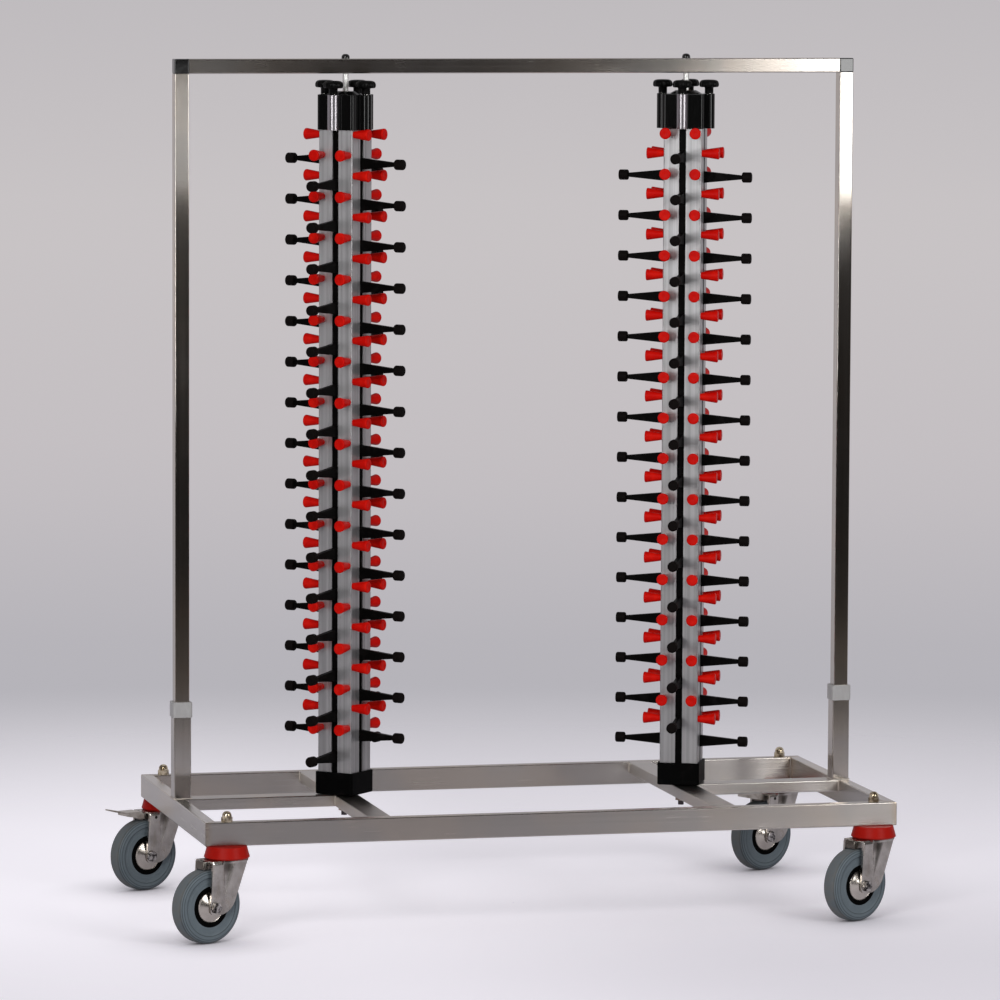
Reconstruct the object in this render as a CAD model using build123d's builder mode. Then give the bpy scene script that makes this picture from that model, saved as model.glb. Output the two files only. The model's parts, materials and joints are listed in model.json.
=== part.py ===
"""A mobile plate dispenser: a base on casters, a gantry and two turning columns of arms and pegs.

Millimetres. The origin is on the floor under the middle of the base, X to the right, Y to the back.
"""

import os
from math import floor

from build123d import *

os.makedirs("parts", exist_ok=True)

# Base frame
FRAME_LENGTH = 1200.0
FRAME_DEPTH = 600.0
BEAM_HEIGHT = 40.0
BEAM_WIDTH = 20.0
BEAM_WALL = 1.5
TUBE_EDGE = 2.0
CROSS_WIDTH = 40.0
CROSS_HEIGHT = 20.0

# Gantry
OVERALL_HEIGHT = 1460.0
POST_SIZE = 25.0
POST_WALL = 1.5
POST_CLEARANCE = 0.5
SOCKET_WALL = 2.0
SOCKET_HEIGHT = 162.0
COLLAR_WALL = 2.0
COLLAR_SKIRT = 22.0
COLLAR_LIP = 4.0
SPIGOT_LENGTH = 30.0
SPIGOT_CLEARANCE = 0.2
CONNECTOR_EDGE = 2.0

# Spindles and their fasteners
COLUMN_SPACING = 600.0
SPINDLE_DIAMETER = 10.0
SPINDLE_PROUD = 8.0
BOLT_CLEARANCE = 0.25
NUT_FLATS = 17.0
NUT_HEIGHT = 8.0
NUT_WASHER_RADIUS = 10.0
NUT_WASHER = 1.5
THREAD_PROUD = 3.0
CAP_RADIUS = 7.0
CAP_HEIGHT = 8.0
CAP_WALL = 3.0
CAP_EDGE = 5.5
THRUST_RADIUS = 16.0
THRUST_WASHER = 1.0

# Columns
COLUMN_SIZE = 66.0
COLUMN_CORNER = 2.0
FACE_WALL = 2.5
CHANNEL_WIDTH = 28.0
CHANNEL_DEPTH = 9.0
CHANNEL_WALL = 2.0
CORE_RADIUS = 15.0
GROOVE_WIDTH = 0.8
GROOVE_DEPTH = 0.4
GROOVE_LIP = 6.0
GROOVE_EDGE = 2.0
LEFT_YAW = 47.0
RIGHT_YAW = -24.0
FOOT_WALL = 3.5
FOOT_HEIGHT = 38.5
FOOT_FLOOR = 8.0
FOOT_CORNER = 4.0
FOOT_CHAMFER = 1.5
COLUMN_FIT = 0.2
BUSH_RADIUS = 8.0
BUSH_FLANGE = 11.0
BUSH_FLANGE_THICKNESS = 2.0
RUNNING_FIT = 0.05
MOVING_GAP = 0.3

# Column heads, knobs and lead screws
HEAD_HEIGHT = 60.0
HEAD_WALL = 3.0
HEAD_TOP = 6.0
HEAD_CORNER = 6.0
HEAD_EDGE = 1.2
BOSS_RADIUS = 10.0
BOSS_WALL = 2.0
HUB_STEM_GAP = 5.0
HUB_TAPER = 10.0
HUB_HEIGHT = 5.5
KNOB_RADIUS = 17.4
KNOB_THICKNESS = 13.0
KNOB_EDGE = 4.0
KNOB_STEM_RADIUS = 7.5
KNOB_STEM = 11.0
KNOB_BAR_GAP = 11.5
SCREW_OFFSET = 7.4
SCREW_RADIUS = 5.0
SCREW_END_GAP = 4.0
SCREW_IN_KNOB = 6.0
RETAINER_RADIUS = 7.0
RETAINER = 2.0

# Pegs, arms and arm rails
LEVEL_PITCH = 70.0
TOP_PEG_DROP = 7.5
PEG_INSET = 7.0
PEG_LENGTH = 30.0
PEG_ROOT_RADIUS = 5.8
PEG_END_RADIUS = 10.2
PEG_EDGE = 2.0
ADJUST_MIN = 30.0
ADJUST_MAX = 60.0
LEFT_ADJUST = (50.0, 32.0, 43.0, 50.5)
RIGHT_ADJUST = (41.8, 41.4, 41.8, 38.9)
ARM_WIDTH = 8.0
ARM_SIDE_GAP = 2.0
ARM_REACH = 66.0
ARM_ROOT_HEIGHT = 20.0
ARM_END_HEIGHT = 7.0
ARM_FOOT_GAP = 5.0
ARM_SPIGOT_RADIUS = 2.5
ARM_SPIGOT = 10.0
TIP_RADIUS = 9.0
TIP_LENGTH = 17.0
TIP_EDGE = 3.0
TIP_CLEARANCE = 0.1
RAIL_CLEARANCE = 0.5
RAIL_END_GAP = 0.5
LUG_HEIGHT = 14.0
LUG_RADIUS = 7.0
LUG_GAP = 1.0
LUG_SIDE_GAP = 1.5

# Casters
CASTER_INSET = 38.0
CASTER_YAWS = {"front_left": 205.0, "front_right": 207.0, "rear_left": 204.0, "rear_right": 206.0}
KING_RADIUS = 5.0
DOME_HEIGHT = 18.0
DOME_RADIUS = 8.0
DOME_EDGE = 7.5
BOLT_HEAD = 6.4
RING_HEIGHT = 20.5
RING_TOP_RADIUS = 33.5
RING_BOTTOM_RADIUS = 38.5
RING_WALL = 4.0
RING_CHAMFER = 2.5
RING_BORE = 28.0
RACE_RADIUS = 24.0
RACE_BORE = 9.0
SWIVEL_CUP = 8.0
WHEEL_RADIUS = 62.5
WHEEL_WIDTH = 32.0
WHEEL_GAP = 11.0
TRAIL = 43.0
CROWN_DROP = 0.5
CROWN_THICKNESS = 3.0
CROWN_LEAD = 27.0
CROWN_REAR = 46.0
CROWN_CORNER = 3.0
LEG_GAP = 42.0
LEG_THICKNESS = 3.0
LEG_END = 12.5
LEG_REAR = 9.0
LEG_HEEL = 8.0
LEG_CORNER = 8.0
PANEL_LEAD = 16.0
PANEL_INSET = 3.0
PANEL_RAISE = 2.0
PANEL_TAPER = 35.0
TAIL_END = 56.5
TAIL_HALF_WIDTH = 12.0
TAIL_SKIRT = 13.5
SHEET = 2.5
AXLE_RADIUS = 5.0
AXLE_FLATS = 16.0
AXLE_NUT = 8.0
AXLE_HEAD_RADIUS = 9.5
AXLE_HEAD = 4.5
TYRE_DEPTH = 28.0
RIM_HALF_WIDTH = 14.5
RIM_WEB = 5.0
RIM_DEPTH = 8.5
HUB_RADIUS = 13.0
HUB_SIDE_GAP = 0.5
DISC_THICKNESS = 1.5
DISC_DISH = 3.0
TREAD_HALF = 6.5
TYRE_STEP = 1.2
TYRE_STEP_RISE = 13.5
SHOULDER_DROP = 9.0
TREAD_CROWN = 0.3

# Brake pedals of the rear casters
PEDAL_PIVOT_REAR = 33.0
PEDAL_PIVOT_DROP = 6.0
PEDAL_PIN_RADIUS = 2.5
PEDAL_EYE = 4.0
PEDAL_GAP = 0.5
PEDAL_START = 58.0
PEDAL_END = 86.0
PEDAL_RISE = 5.0
PEDAL_SKIRT = 7.0
TONGUE_END = 112.5
TONGUE_RISE = 5.6
SHOE_LEAD = 38.0
SHOE_REAR = 45.0
SHOE_DROP = 8.8
SHOE_HEIGHT = 6.0

# Places worked out from the driving sizes
crown_bottom = 2 * WHEEL_RADIUS + WHEEL_GAP
crown_top = crown_bottom + CROWN_THICKNESS
base_bottom = crown_top + CROWN_DROP + RING_HEIGHT
base_top = base_bottom + BEAM_HEIGHT
socket_size = POST_SIZE + 2 * (POST_CLEARANCE + SOCKET_WALL)
post_x = (FRAME_LENGTH - socket_size) / 2
bar_bottom = OVERALL_HEIGHT - POST_SIZE
spindle_radius = SPINDLE_DIAMETER / 2
column_half = COLUMN_SIZE / 2
slot_width = ARM_WIDTH + 2 * ARM_SIDE_GAP
groove_offsets = (slot_width / 2 + GROOVE_LIP, column_half - GROOVE_EDGE)
peg_offset = column_half - PEG_INSET
knob_top = bar_bottom - KNOB_BAR_GAP
head_top = knob_top - KNOB_THICKNESS - KNOB_STEM
head_bottom = head_top - HEAD_HEIGHT
head_ceiling = head_top - HEAD_TOP
foot_bottom = base_top + THRUST_WASHER + MOVING_GAP / 3
foot_top = foot_bottom + FOOT_HEIGHT
profile_bottom = foot_bottom + FOOT_FLOOR
knob_offset = column_half + SCREW_OFFSET
hub_base_radius = knob_offset - KNOB_STEM_RADIUS - HUB_STEM_GAP
hub_top_radius = hub_base_radius - HUB_TAPER
retainer_top = head_ceiling - MOVING_GAP
lug_middle = retainer_top - RETAINER - LUG_GAP - LUG_HEIGHT / 2 - (ADJUST_MAX - ADJUST_MIN) / 2
rail_outside = column_half - FACE_WALL - RAIL_CLEARANCE
rail_thickness = CHANNEL_DEPTH - 2 * RAIL_CLEARANCE
top_pegs = [head_bottom - TOP_PEG_DROP - (face % 2) * LEVEL_PITCH / 2 for face in range(4)]
lowest_peg = foot_top + ARM_FOOT_GAP + ARM_ROOT_HEIGHT / 2 + ADJUST_MAX
LEVELS = floor((min(top_pegs) - lowest_peg) / LEVEL_PITCH) + 1
arm_end = column_half + ARM_REACH
leg_inside = LEG_GAP / 2
leg_outside = leg_inside + LEG_THICKNESS
hub_half = leg_inside - HUB_SIDE_GAP
rim_radius = WHEEL_RADIUS - TYRE_DEPTH
rim_flange = rim_radius - RIM_DEPTH
step_radius = rim_radius + TYRE_STEP_RISE
shoulder_radius = WHEEL_RADIUS - SHOULDER_DROP
pedal_pivot = (PEDAL_PIVOT_REAR, crown_bottom - PEDAL_PIVOT_DROP)
pedal_top = crown_bottom + PEDAL_RISE
columns = {
    "left": (Location((-COLUMN_SPACING / 2, 0, 0), (0, 0, LEFT_YAW)), LEFT_ADJUST),
    "right": (Location((COLUMN_SPACING / 2, 0, 0), (0, 0, RIGHT_YAW)), RIGHT_ADJUST),
}
caster_x = FRAME_LENGTH / 2 - CASTER_INSET
caster_y = (FRAME_DEPTH - BEAM_WIDTH) / 2
caster_spots = {
    "front_left": (-caster_x, -caster_y),
    "front_right": (caster_x, -caster_y),
    "rear_left": (-caster_x, caster_y),
    "rear_right": (caster_x, caster_y),
}


def placed(spot, plane):
    """A plane given in the frame of a column, a face or a caster."""
    return Plane(spot * plane.location)


def write(piece, name):
    """Labels a finished piece and writes it as its own node."""
    piece.label = name
    export_step(piece, f"parts/{name}.step")


def write_group(pieces, name):
    """Writes touching pieces as one node without joining them."""
    write(Compound([solid for piece in pieces for solid in piece.solids()]), name)


def tube_section(width, height, wall):
    """A rectangular tube's section in the sketch that is open."""
    RectangleRounded(width, height, TUBE_EDGE)
    Rectangle(width - 2 * wall, height - 2 * wall, mode=Mode.SUBTRACT)


def mitre(side_x, side_y, keep_along_x):
    """The upright plane of a base corner's mitre, facing the beam that is kept."""
    flip = 1 if keep_along_x else -1
    corner = (side_x * FRAME_LENGTH / 2, side_y * FRAME_DEPTH / 2, 0)
    return Plane(origin=corner, z_dir=(-side_x * flip, side_y * flip, 0))


# Base beams: the front and rear ones carry the caster bolts
for name, side_y in (("front_beam", -1), ("rear_beam", 1)):
    with BuildPart() as beam:
        with BuildSketch(Plane.YZ):
            with Locations((side_y * caster_y, base_top - BEAM_HEIGHT / 2)):
                tube_section(BEAM_WIDTH, BEAM_HEIGHT, BEAM_WALL)
        extrude(amount=FRAME_LENGTH / 2, both=True)
        for side_x in (-1, 1):
            split(bisect_by=mitre(side_x, side_y, True), keep=Keep.TOP)
        with BuildSketch(Plane.XY.offset(base_top)):
            with Locations((-caster_x, side_y * caster_y), (caster_x, side_y * caster_y)):
                Circle(KING_RADIUS + BOLT_CLEARANCE)
        extrude(amount=-BEAM_HEIGHT, mode=Mode.SUBTRACT)
    write(beam.part, name)

for name, side_x in (("left_side_beam", -1), ("right_side_beam", 1)):
    with BuildPart() as beam:
        with BuildSketch(Plane.XZ):
            with Locations((side_x * (FRAME_LENGTH - BEAM_WIDTH) / 2, base_top - BEAM_HEIGHT / 2)):
                tube_section(BEAM_WIDTH, BEAM_HEIGHT, BEAM_WALL)
        extrude(amount=FRAME_DEPTH / 2, both=True)
        for side_y in (-1, 1):
            split(bisect_by=mitre(side_x, side_y, False), keep=Keep.TOP)
    write(beam.part, name)

with BuildPart() as cross_beams:
    with BuildSketch(Plane.XZ):
        for side_x in (-1, 1):
            with Locations((side_x * COLUMN_SPACING / 2, base_top - CROSS_HEIGHT / 2)):
                tube_section(CROSS_WIDTH, CROSS_HEIGHT, BEAM_WALL)
    extrude(amount=FRAME_DEPTH / 2 - BEAM_WIDTH, both=True)
    with BuildSketch(Plane.XY.offset(base_top)):
        with GridLocations(COLUMN_SPACING, 0, 2, 1):
            Circle(spindle_radius + BOLT_CLEARANCE)
    extrude(amount=-CROSS_HEIGHT, mode=Mode.SUBTRACT)
write(cross_beams.part, "cross_beams")

mid_start = (COLUMN_SPACING + CROSS_WIDTH) / 2
mid_length = FRAME_LENGTH / 2 - BEAM_WIDTH - mid_start
with BuildPart() as mid_beams:
    for side_x in (-1, 1):
        with BuildSketch(Plane.YZ.offset(side_x * mid_start)):
            with Locations((0, base_top - CROSS_HEIGHT / 2)):
                tube_section(CROSS_WIDTH, CROSS_HEIGHT, BEAM_WALL)
        extrude(amount=side_x * mid_length)
write(mid_beams.part, "mid_beams")

# Gantry: stub sockets, plastic collars, posts, corner connectors and the top bar
with BuildPart() as post_sockets:
    with BuildSketch(Plane.XY.offset(base_top)):
        with GridLocations(2 * post_x, 0, 2, 1):
            tube_section(socket_size, socket_size, SOCKET_WALL)
    extrude(amount=SOCKET_HEIGHT)
write(post_sockets.part, "post_sockets")

collar_size = socket_size + 2 * COLLAR_WALL
socket_top = base_top + SOCKET_HEIGHT
with BuildPart() as socket_collars:
    with BuildSketch(Plane.XY.offset(socket_top - COLLAR_SKIRT)):
        with GridLocations(2 * post_x, 0, 2, 1):
            RectangleRounded(collar_size, collar_size, TUBE_EDGE + COLLAR_WALL)
            RectangleRounded(socket_size, socket_size, TUBE_EDGE, mode=Mode.SUBTRACT)
    extrude(amount=COLLAR_SKIRT)
    with BuildSketch(Plane.XY.offset(socket_top)):
        with GridLocations(2 * post_x, 0, 2, 1):
            RectangleRounded(collar_size, collar_size, TUBE_EDGE + COLLAR_WALL)
            RectangleRounded(POST_SIZE, POST_SIZE, TUBE_EDGE, mode=Mode.SUBTRACT)
    extrude(amount=COLLAR_LIP)
    top_faces = socket_collars.faces().filter_by(Plane.XY).group_by(Axis.Z)[-1]
    chamfer([face.outer_wire().edges() for face in top_faces], length=COLLAR_WALL / 2)
write(socket_collars.part, "socket_collars")

with BuildPart() as posts:
    with BuildSketch(Plane.XY.offset(base_top)):
        with GridLocations(2 * post_x, 0, 2, 1):
            tube_section(POST_SIZE, POST_SIZE, POST_WALL)
    extrude(amount=bar_bottom - base_top)
write(posts.part, "posts")

bar_half = post_x - POST_SIZE / 2
with BuildPart() as top_bar:
    with BuildSketch(Plane.YZ):
        with Locations((0, OVERALL_HEIGHT - POST_SIZE / 2)):
            tube_section(POST_SIZE, POST_SIZE, POST_WALL)
    extrude(amount=bar_half, both=True)
    with BuildSketch(Plane.XY.offset(OVERALL_HEIGHT)):
        with GridLocations(COLUMN_SPACING, 0, 2, 1):
            Circle(spindle_radius + BOLT_CLEARANCE)
    extrude(amount=-POST_SIZE, mode=Mode.SUBTRACT)
write(top_bar.part, "top_bar")

spigot_size = POST_SIZE - 2 * (POST_WALL + SPIGOT_CLEARANCE)
with BuildPart() as corner_connectors:
    with Locations((-post_x, 0, bar_bottom), (post_x, 0, bar_bottom)):
        Box(POST_SIZE, POST_SIZE, POST_SIZE, align=(Align.CENTER, Align.CENTER, Align.MIN))
    fillet(corner_connectors.edges(), radius=CONNECTOR_EDGE)
    spigot_length = SPIGOT_LENGTH + CONNECTOR_EDGE
    for side_x in (-1, 1):
        with Locations((side_x * post_x, 0, bar_bottom + CONNECTOR_EDGE - spigot_length / 2)):
            Box(spigot_size, spigot_size, spigot_length)
        spigot_x = side_x * (bar_half + CONNECTOR_EDGE - spigot_length / 2)
        with Locations((spigot_x, 0, OVERALL_HEIGHT - POST_SIZE / 2)):
            Box(spigot_length, spigot_size, spigot_size)
write(corner_connectors.part, "corner_connectors")

# Spindles, each clamped between its cross-beam and the top bar
cross_bottom = base_top - CROSS_HEIGHT
spindle_bottom = cross_bottom - NUT_WASHER - NUT_HEIGHT - SPINDLE_PROUD
spindle_top = OVERALL_HEIGHT + CAP_HEIGHT - CAP_WALL
with BuildPart() as spindles:
    with BuildSketch(Plane.XY.offset(spindle_bottom)):
        with GridLocations(COLUMN_SPACING, 0, 2, 1):
            Circle(spindle_radius)
    extrude(amount=spindle_top - spindle_bottom)
write(spindles.part, "spindles")

with BuildPart() as spindle_caps:
    with GridLocations(COLUMN_SPACING, 0, 2, 1):
        with Locations((0, 0, OVERALL_HEIGHT)):
            Cylinder(CAP_RADIUS, CAP_HEIGHT, align=(Align.CENTER, Align.CENTER, Align.MIN))
    fillet(spindle_caps.faces().group_by(Axis.Z)[-1].edges(), radius=CAP_EDGE)
    with GridLocations(COLUMN_SPACING, 0, 2, 1):
        with Locations((0, 0, OVERALL_HEIGHT)):
            Cylinder(
                spindle_radius,
                CAP_HEIGHT - CAP_WALL,
                align=(Align.CENTER, Align.CENTER, Align.MIN),
                mode=Mode.SUBTRACT,
            )
with BuildPart() as spindle_washers:
    with BuildSketch(Plane.XY.offset(cross_bottom)):
        with GridLocations(COLUMN_SPACING, 0, 2, 1):
            Circle(NUT_WASHER_RADIUS)
            Circle(spindle_radius, mode=Mode.SUBTRACT)
    extrude(amount=-NUT_WASHER)
with BuildPart() as spindle_nuts:
    with BuildSketch(Plane.XY.offset(cross_bottom - NUT_WASHER)):
        with GridLocations(COLUMN_SPACING, 0, 2, 1):
            RegularPolygon(NUT_FLATS / 2, 6, major_radius=False)
            Circle(spindle_radius, mode=Mode.SUBTRACT)
    extrude(amount=-NUT_HEIGHT)
with BuildPart() as thrust_washers:
    with BuildSketch(Plane.XY.offset(base_top)):
        with GridLocations(COLUMN_SPACING, 0, 2, 1):
            Circle(THRUST_RADIUS)
            Circle(spindle_radius, mode=Mode.SUBTRACT)
    extrude(amount=THRUST_WASHER)
spindle_pieces = [spindle_caps.part, spindle_washers.part, spindle_nuts.part, thrust_washers.part]
write_group(spindle_pieces, "spindle_fasteners")

# One peg and one arm with its tip, in the frame of a column face, copied to every level
with BuildPart() as peg:
    with BuildSketch(Plane.XZ) as peg_section:
        Polygon((0, 0), (PEG_ROOT_RADIUS, 0), (PEG_END_RADIUS, PEG_LENGTH), (0, PEG_LENGTH))
        fillet(peg_section.vertices().sort_by(Axis.X)[-1], radius=PEG_EDGE)
    revolve(axis=Axis.Z)

face_section = Plane(origin=(0, 0, 0), x_dir=(0, -1, 0), z_dir=(-1, 0, 0))
with BuildPart() as arm:
    with BuildSketch(face_section):
        Polygon(
            (rail_outside, ARM_ROOT_HEIGHT / 2),
            (column_half, ARM_ROOT_HEIGHT / 2),
            (arm_end, ARM_END_HEIGHT / 2),
            (arm_end, -ARM_END_HEIGHT / 2),
            (column_half, -ARM_ROOT_HEIGHT / 2),
            (rail_outside, -ARM_ROOT_HEIGHT / 2),
        )
    extrude(amount=ARM_WIDTH / 2, both=True)
    with BuildSketch(Plane.XZ.offset(arm_end)):
        Circle(ARM_SPIGOT_RADIUS)
    extrude(amount=ARM_SPIGOT)

with BuildPart() as tip:
    with BuildSketch(Plane.XZ.offset(arm_end)):
        Circle(TIP_RADIUS)
    extrude(amount=TIP_LENGTH)
    fillet(tip.edges(), radius=TIP_EDGE)
    with BuildSketch(Plane.XZ.offset(arm_end)):
        Circle(ARM_SPIGOT_RADIUS + TIP_CLEARANCE)
    extrude(amount=ARM_SPIGOT + TIP_CLEARANCE, mode=Mode.SUBTRACT)


def column_profile(spot):
    """The slotted aluminium extrusion, with four channels, four corner chambers and a core bore."""
    chamber_low = CHANNEL_WIDTH / 2 + CHANNEL_WALL
    chamber = column_half - FACE_WALL - chamber_low
    with BuildPart() as profile:
        with BuildSketch(placed(spot, Plane.XY.offset(profile_bottom))):
            RectangleRounded(COLUMN_SIZE, COLUMN_SIZE, COLUMN_CORNER)
            Circle(CORE_RADIUS, mode=Mode.SUBTRACT)
            with PolarLocations(column_half - FACE_WALL - CHANNEL_DEPTH / 2, 4):
                Rectangle(CHANNEL_DEPTH, CHANNEL_WIDTH, mode=Mode.SUBTRACT)
            with PolarLocations(column_half - FACE_WALL, 4):
                Rectangle(2 * FACE_WALL, slot_width, mode=Mode.SUBTRACT)
            with GridLocations(2 * chamber_low + chamber, 2 * chamber_low + chamber, 2, 2):
                Rectangle(chamber, chamber, mode=Mode.SUBTRACT)
            with PolarLocations(column_half, 4):
                for offset in groove_offsets:
                    with GridLocations(0, 2 * offset, 1, 2):
                        Rectangle(2 * GROOVE_DEPTH, GROOVE_WIDTH, mode=Mode.SUBTRACT)
        extrude(amount=head_ceiling - profile_bottom)
    return profile.part


def column_foot(spot):
    """The black cup that the profile stands in, with a floor that holds the lower bush."""
    foot_size = COLUMN_SIZE + 2 * (COLUMN_FIT + FOOT_WALL)
    with BuildPart() as foot:
        with BuildSketch(placed(spot, Plane.XY.offset(foot_bottom))):
            RectangleRounded(foot_size, foot_size, FOOT_CORNER)
        extrude(amount=FOOT_HEIGHT)
        chamfer(foot.faces().sort_by(Axis.Z)[0].edges(), length=FOOT_CHAMFER)
        with BuildSketch(placed(spot, Plane.XY.offset(foot_top))):
            Rectangle(COLUMN_SIZE + 2 * COLUMN_FIT, COLUMN_SIZE + 2 * COLUMN_FIT)
        extrude(amount=FOOT_FLOOR - FOOT_HEIGHT, mode=Mode.SUBTRACT)
        with BuildSketch(placed(spot, Plane.XY.offset(foot_bottom))):
            Circle(BUSH_RADIUS)
        extrude(amount=FOOT_FLOOR, mode=Mode.SUBTRACT)
    return foot.part


def column_head(spot):
    """The black housing over the profile's top: four round bosses for the screws and a sloped hub."""
    core = COLUMN_SIZE + 2 * (COLUMN_FIT + HEAD_WALL)
    with BuildPart() as head:
        with BuildSketch(placed(spot, Plane.XY.offset(head_bottom))):
            RectangleRounded(core, core, HEAD_CORNER)
            with PolarLocations(knob_offset, 4):
                Circle(BOSS_RADIUS)
        extrude(amount=HEAD_HEIGHT)
        fillet(head.faces().sort_by(Axis.Z)[-1].edges(), radius=HEAD_EDGE)
        with BuildSketch(placed(spot, Plane.XY.offset(head_bottom))):
            Rectangle(COLUMN_SIZE + 2 * COLUMN_FIT, COLUMN_SIZE + 2 * COLUMN_FIT)
            with PolarLocations(knob_offset, 4):
                Circle(BOSS_RADIUS - BOSS_WALL)
            with PolarLocations(knob_offset / 2, 4):
                Rectangle(knob_offset, ARM_WIDTH + 2 * LUG_SIDE_GAP)
        extrude(amount=HEAD_HEIGHT - HEAD_TOP, mode=Mode.SUBTRACT)
        with BuildSketch(placed(spot, Plane.XY.offset(head_top))):
            Circle(hub_base_radius)
        with BuildSketch(placed(spot, Plane.XY.offset(head_top + HUB_HEIGHT))):
            Circle(hub_top_radius)
        loft()
        with BuildSketch(placed(spot, Plane.XY.offset(head_ceiling))):
            Circle(BUSH_RADIUS)
            with PolarLocations(knob_offset, 4):
                Circle(SCREW_RADIUS + RUNNING_FIT)
        extrude(amount=HEAD_TOP + HUB_HEIGHT, mode=Mode.SUBTRACT)
    return head.part


def column_bushes(spot):
    """Two flanged plain bearings: one in the foot's floor and one in the head's hub."""
    with BuildPart() as bushes:
        for flange_bottom, barrel in (
            (profile_bottom, -FOOT_FLOOR),
            (head_ceiling - BUSH_FLANGE_THICKNESS, HEAD_TOP + HUB_HEIGHT + BUSH_FLANGE_THICKNESS),
        ):
            with BuildSketch(placed(spot, Plane.XY.offset(flange_bottom))):
                Circle(BUSH_FLANGE)
                Circle(spindle_radius + RUNNING_FIT, mode=Mode.SUBTRACT)
            extrude(amount=BUSH_FLANGE_THICKNESS)
            with BuildSketch(placed(spot, Plane.XY.offset(flange_bottom))):
                Circle(BUSH_RADIUS)
                Circle(spindle_radius + RUNNING_FIT, mode=Mode.SUBTRACT)
            extrude(amount=barrel)
    return bushes.part


def column_pegs(spot):
    """The red cones: a pair at every level of every face, with neighbouring faces half a pitch apart."""
    lying = [
        spot * Location((0, 0, 0), (0, 0, 90 * face))
        * Location((side * peg_offset, -column_half, top_pegs[face] - level * LEVEL_PITCH), (90, 0, 0))
        for face in range(4)
        for level in range(LEVELS)
        for side in (-1, 1)
    ]
    with BuildPart() as pegs:
        with Locations(*lying):
            add(peg.part)
    return pegs.part


def knob_pieces(spot):
    """A hand knob on its lead screw, with the ring that holds the screw under the head's top."""
    stem_bottom = head_top + MOVING_GAP
    disc_bottom = head_top + KNOB_STEM
    screw_top = disc_bottom + SCREW_IN_KNOB
    axis = placed(spot, Plane.XZ)
    with BuildPart() as knob:
        with BuildSketch(axis) as section:
            Polygon(
                (SCREW_RADIUS, stem_bottom),
                (KNOB_STEM_RADIUS, stem_bottom),
                (KNOB_STEM_RADIUS, disc_bottom),
                (KNOB_RADIUS, disc_bottom),
                (KNOB_RADIUS, knob_top),
                (0, knob_top),
                (0, screw_top),
                (SCREW_RADIUS, screw_top),
            )
            fillet(section.vertices().group_by(Axis.X)[-1], radius=KNOB_EDGE)
        revolve(axis=Axis(axis.origin, (0, 0, 1)))
    with BuildPart() as screw:
        with BuildSketch(placed(spot, Plane.XY.offset(head_bottom + SCREW_END_GAP))):
            Circle(SCREW_RADIUS)
        extrude(amount=screw_top - head_bottom - SCREW_END_GAP)
    with BuildPart() as retainer:
        with BuildSketch(placed(spot, Plane.XY.offset(retainer_top))):
            Circle(RETAINER_RADIUS)
            Circle(SCREW_RADIUS, mode=Mode.SUBTRACT)
        extrude(amount=-RETAINER)
    return [knob.part, screw.part, retainer.part]


def arm_rail_pieces(spot, face, adjust):
    """A face's sliding rail, its screwed nut lug, its arms and their tips, set by the peg to arm gap."""
    levels = [top_pegs[face] - adjust - level * LEVEL_PITCH for level in range(LEVELS)]
    rail_bottom = profile_bottom + RAIL_END_GAP + ADJUST_MAX - adjust
    lug_height = lug_middle + (ADJUST_MIN + ADJUST_MAX) / 2 - adjust
    lug_bottom = lug_height - LUG_HEIGHT / 2
    with BuildPart() as rail:
        with BuildSketch(placed(spot, Plane.XY.offset(rail_bottom))):
            with Locations((0, rail_thickness / 2 - rail_outside)):
                Rectangle(CHANNEL_WIDTH - 2 * RAIL_CLEARANCE, rail_thickness)
        extrude(amount=lug_bottom + LUG_HEIGHT - rail_bottom)
    with BuildPart() as lug:
        with BuildSketch(placed(spot, Plane.XY.offset(lug_bottom))):
            with Locations((0, -(rail_outside + knob_offset) / 2)):
                Rectangle(ARM_WIDTH, knob_offset - rail_outside)
            with Locations((0, -knob_offset)):
                Circle(LUG_RADIUS)
                Circle(SCREW_RADIUS + RUNNING_FIT, mode=Mode.SUBTRACT)
        extrude(amount=LUG_HEIGHT)
    with BuildPart() as arms:
        with Locations(*[spot * Location((0, 0, height)) for height in levels]):
            add(arm.part)
    with BuildPart() as tips:
        with Locations(*[spot * Location((0, 0, height)) for height in levels]):
            add(tip.part)
    return [rail.part, lug.part, arms.part, tips.part]


for side, (spot, adjust) in columns.items():
    write(column_profile(spot), f"{side}_column_profile")
    write(column_foot(spot), f"{side}_column_foot")
    write(column_head(spot), f"{side}_column_head")
    write(column_bushes(spot), f"{side}_column_bushes")
    write(column_pegs(spot), f"{side}_pegs")
    for face in range(4):
        face_spot = spot * Location((0, 0, 0), (0, 0, 90 * face))
        write_group(knob_pieces(face_spot * Location((0, -knob_offset, 0))), f"{side}_knob_{face + 1}")
        write_group(arm_rail_pieces(face_spot, face, adjust[face]), f"{side}_arm_rail_{face + 1}")

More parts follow.
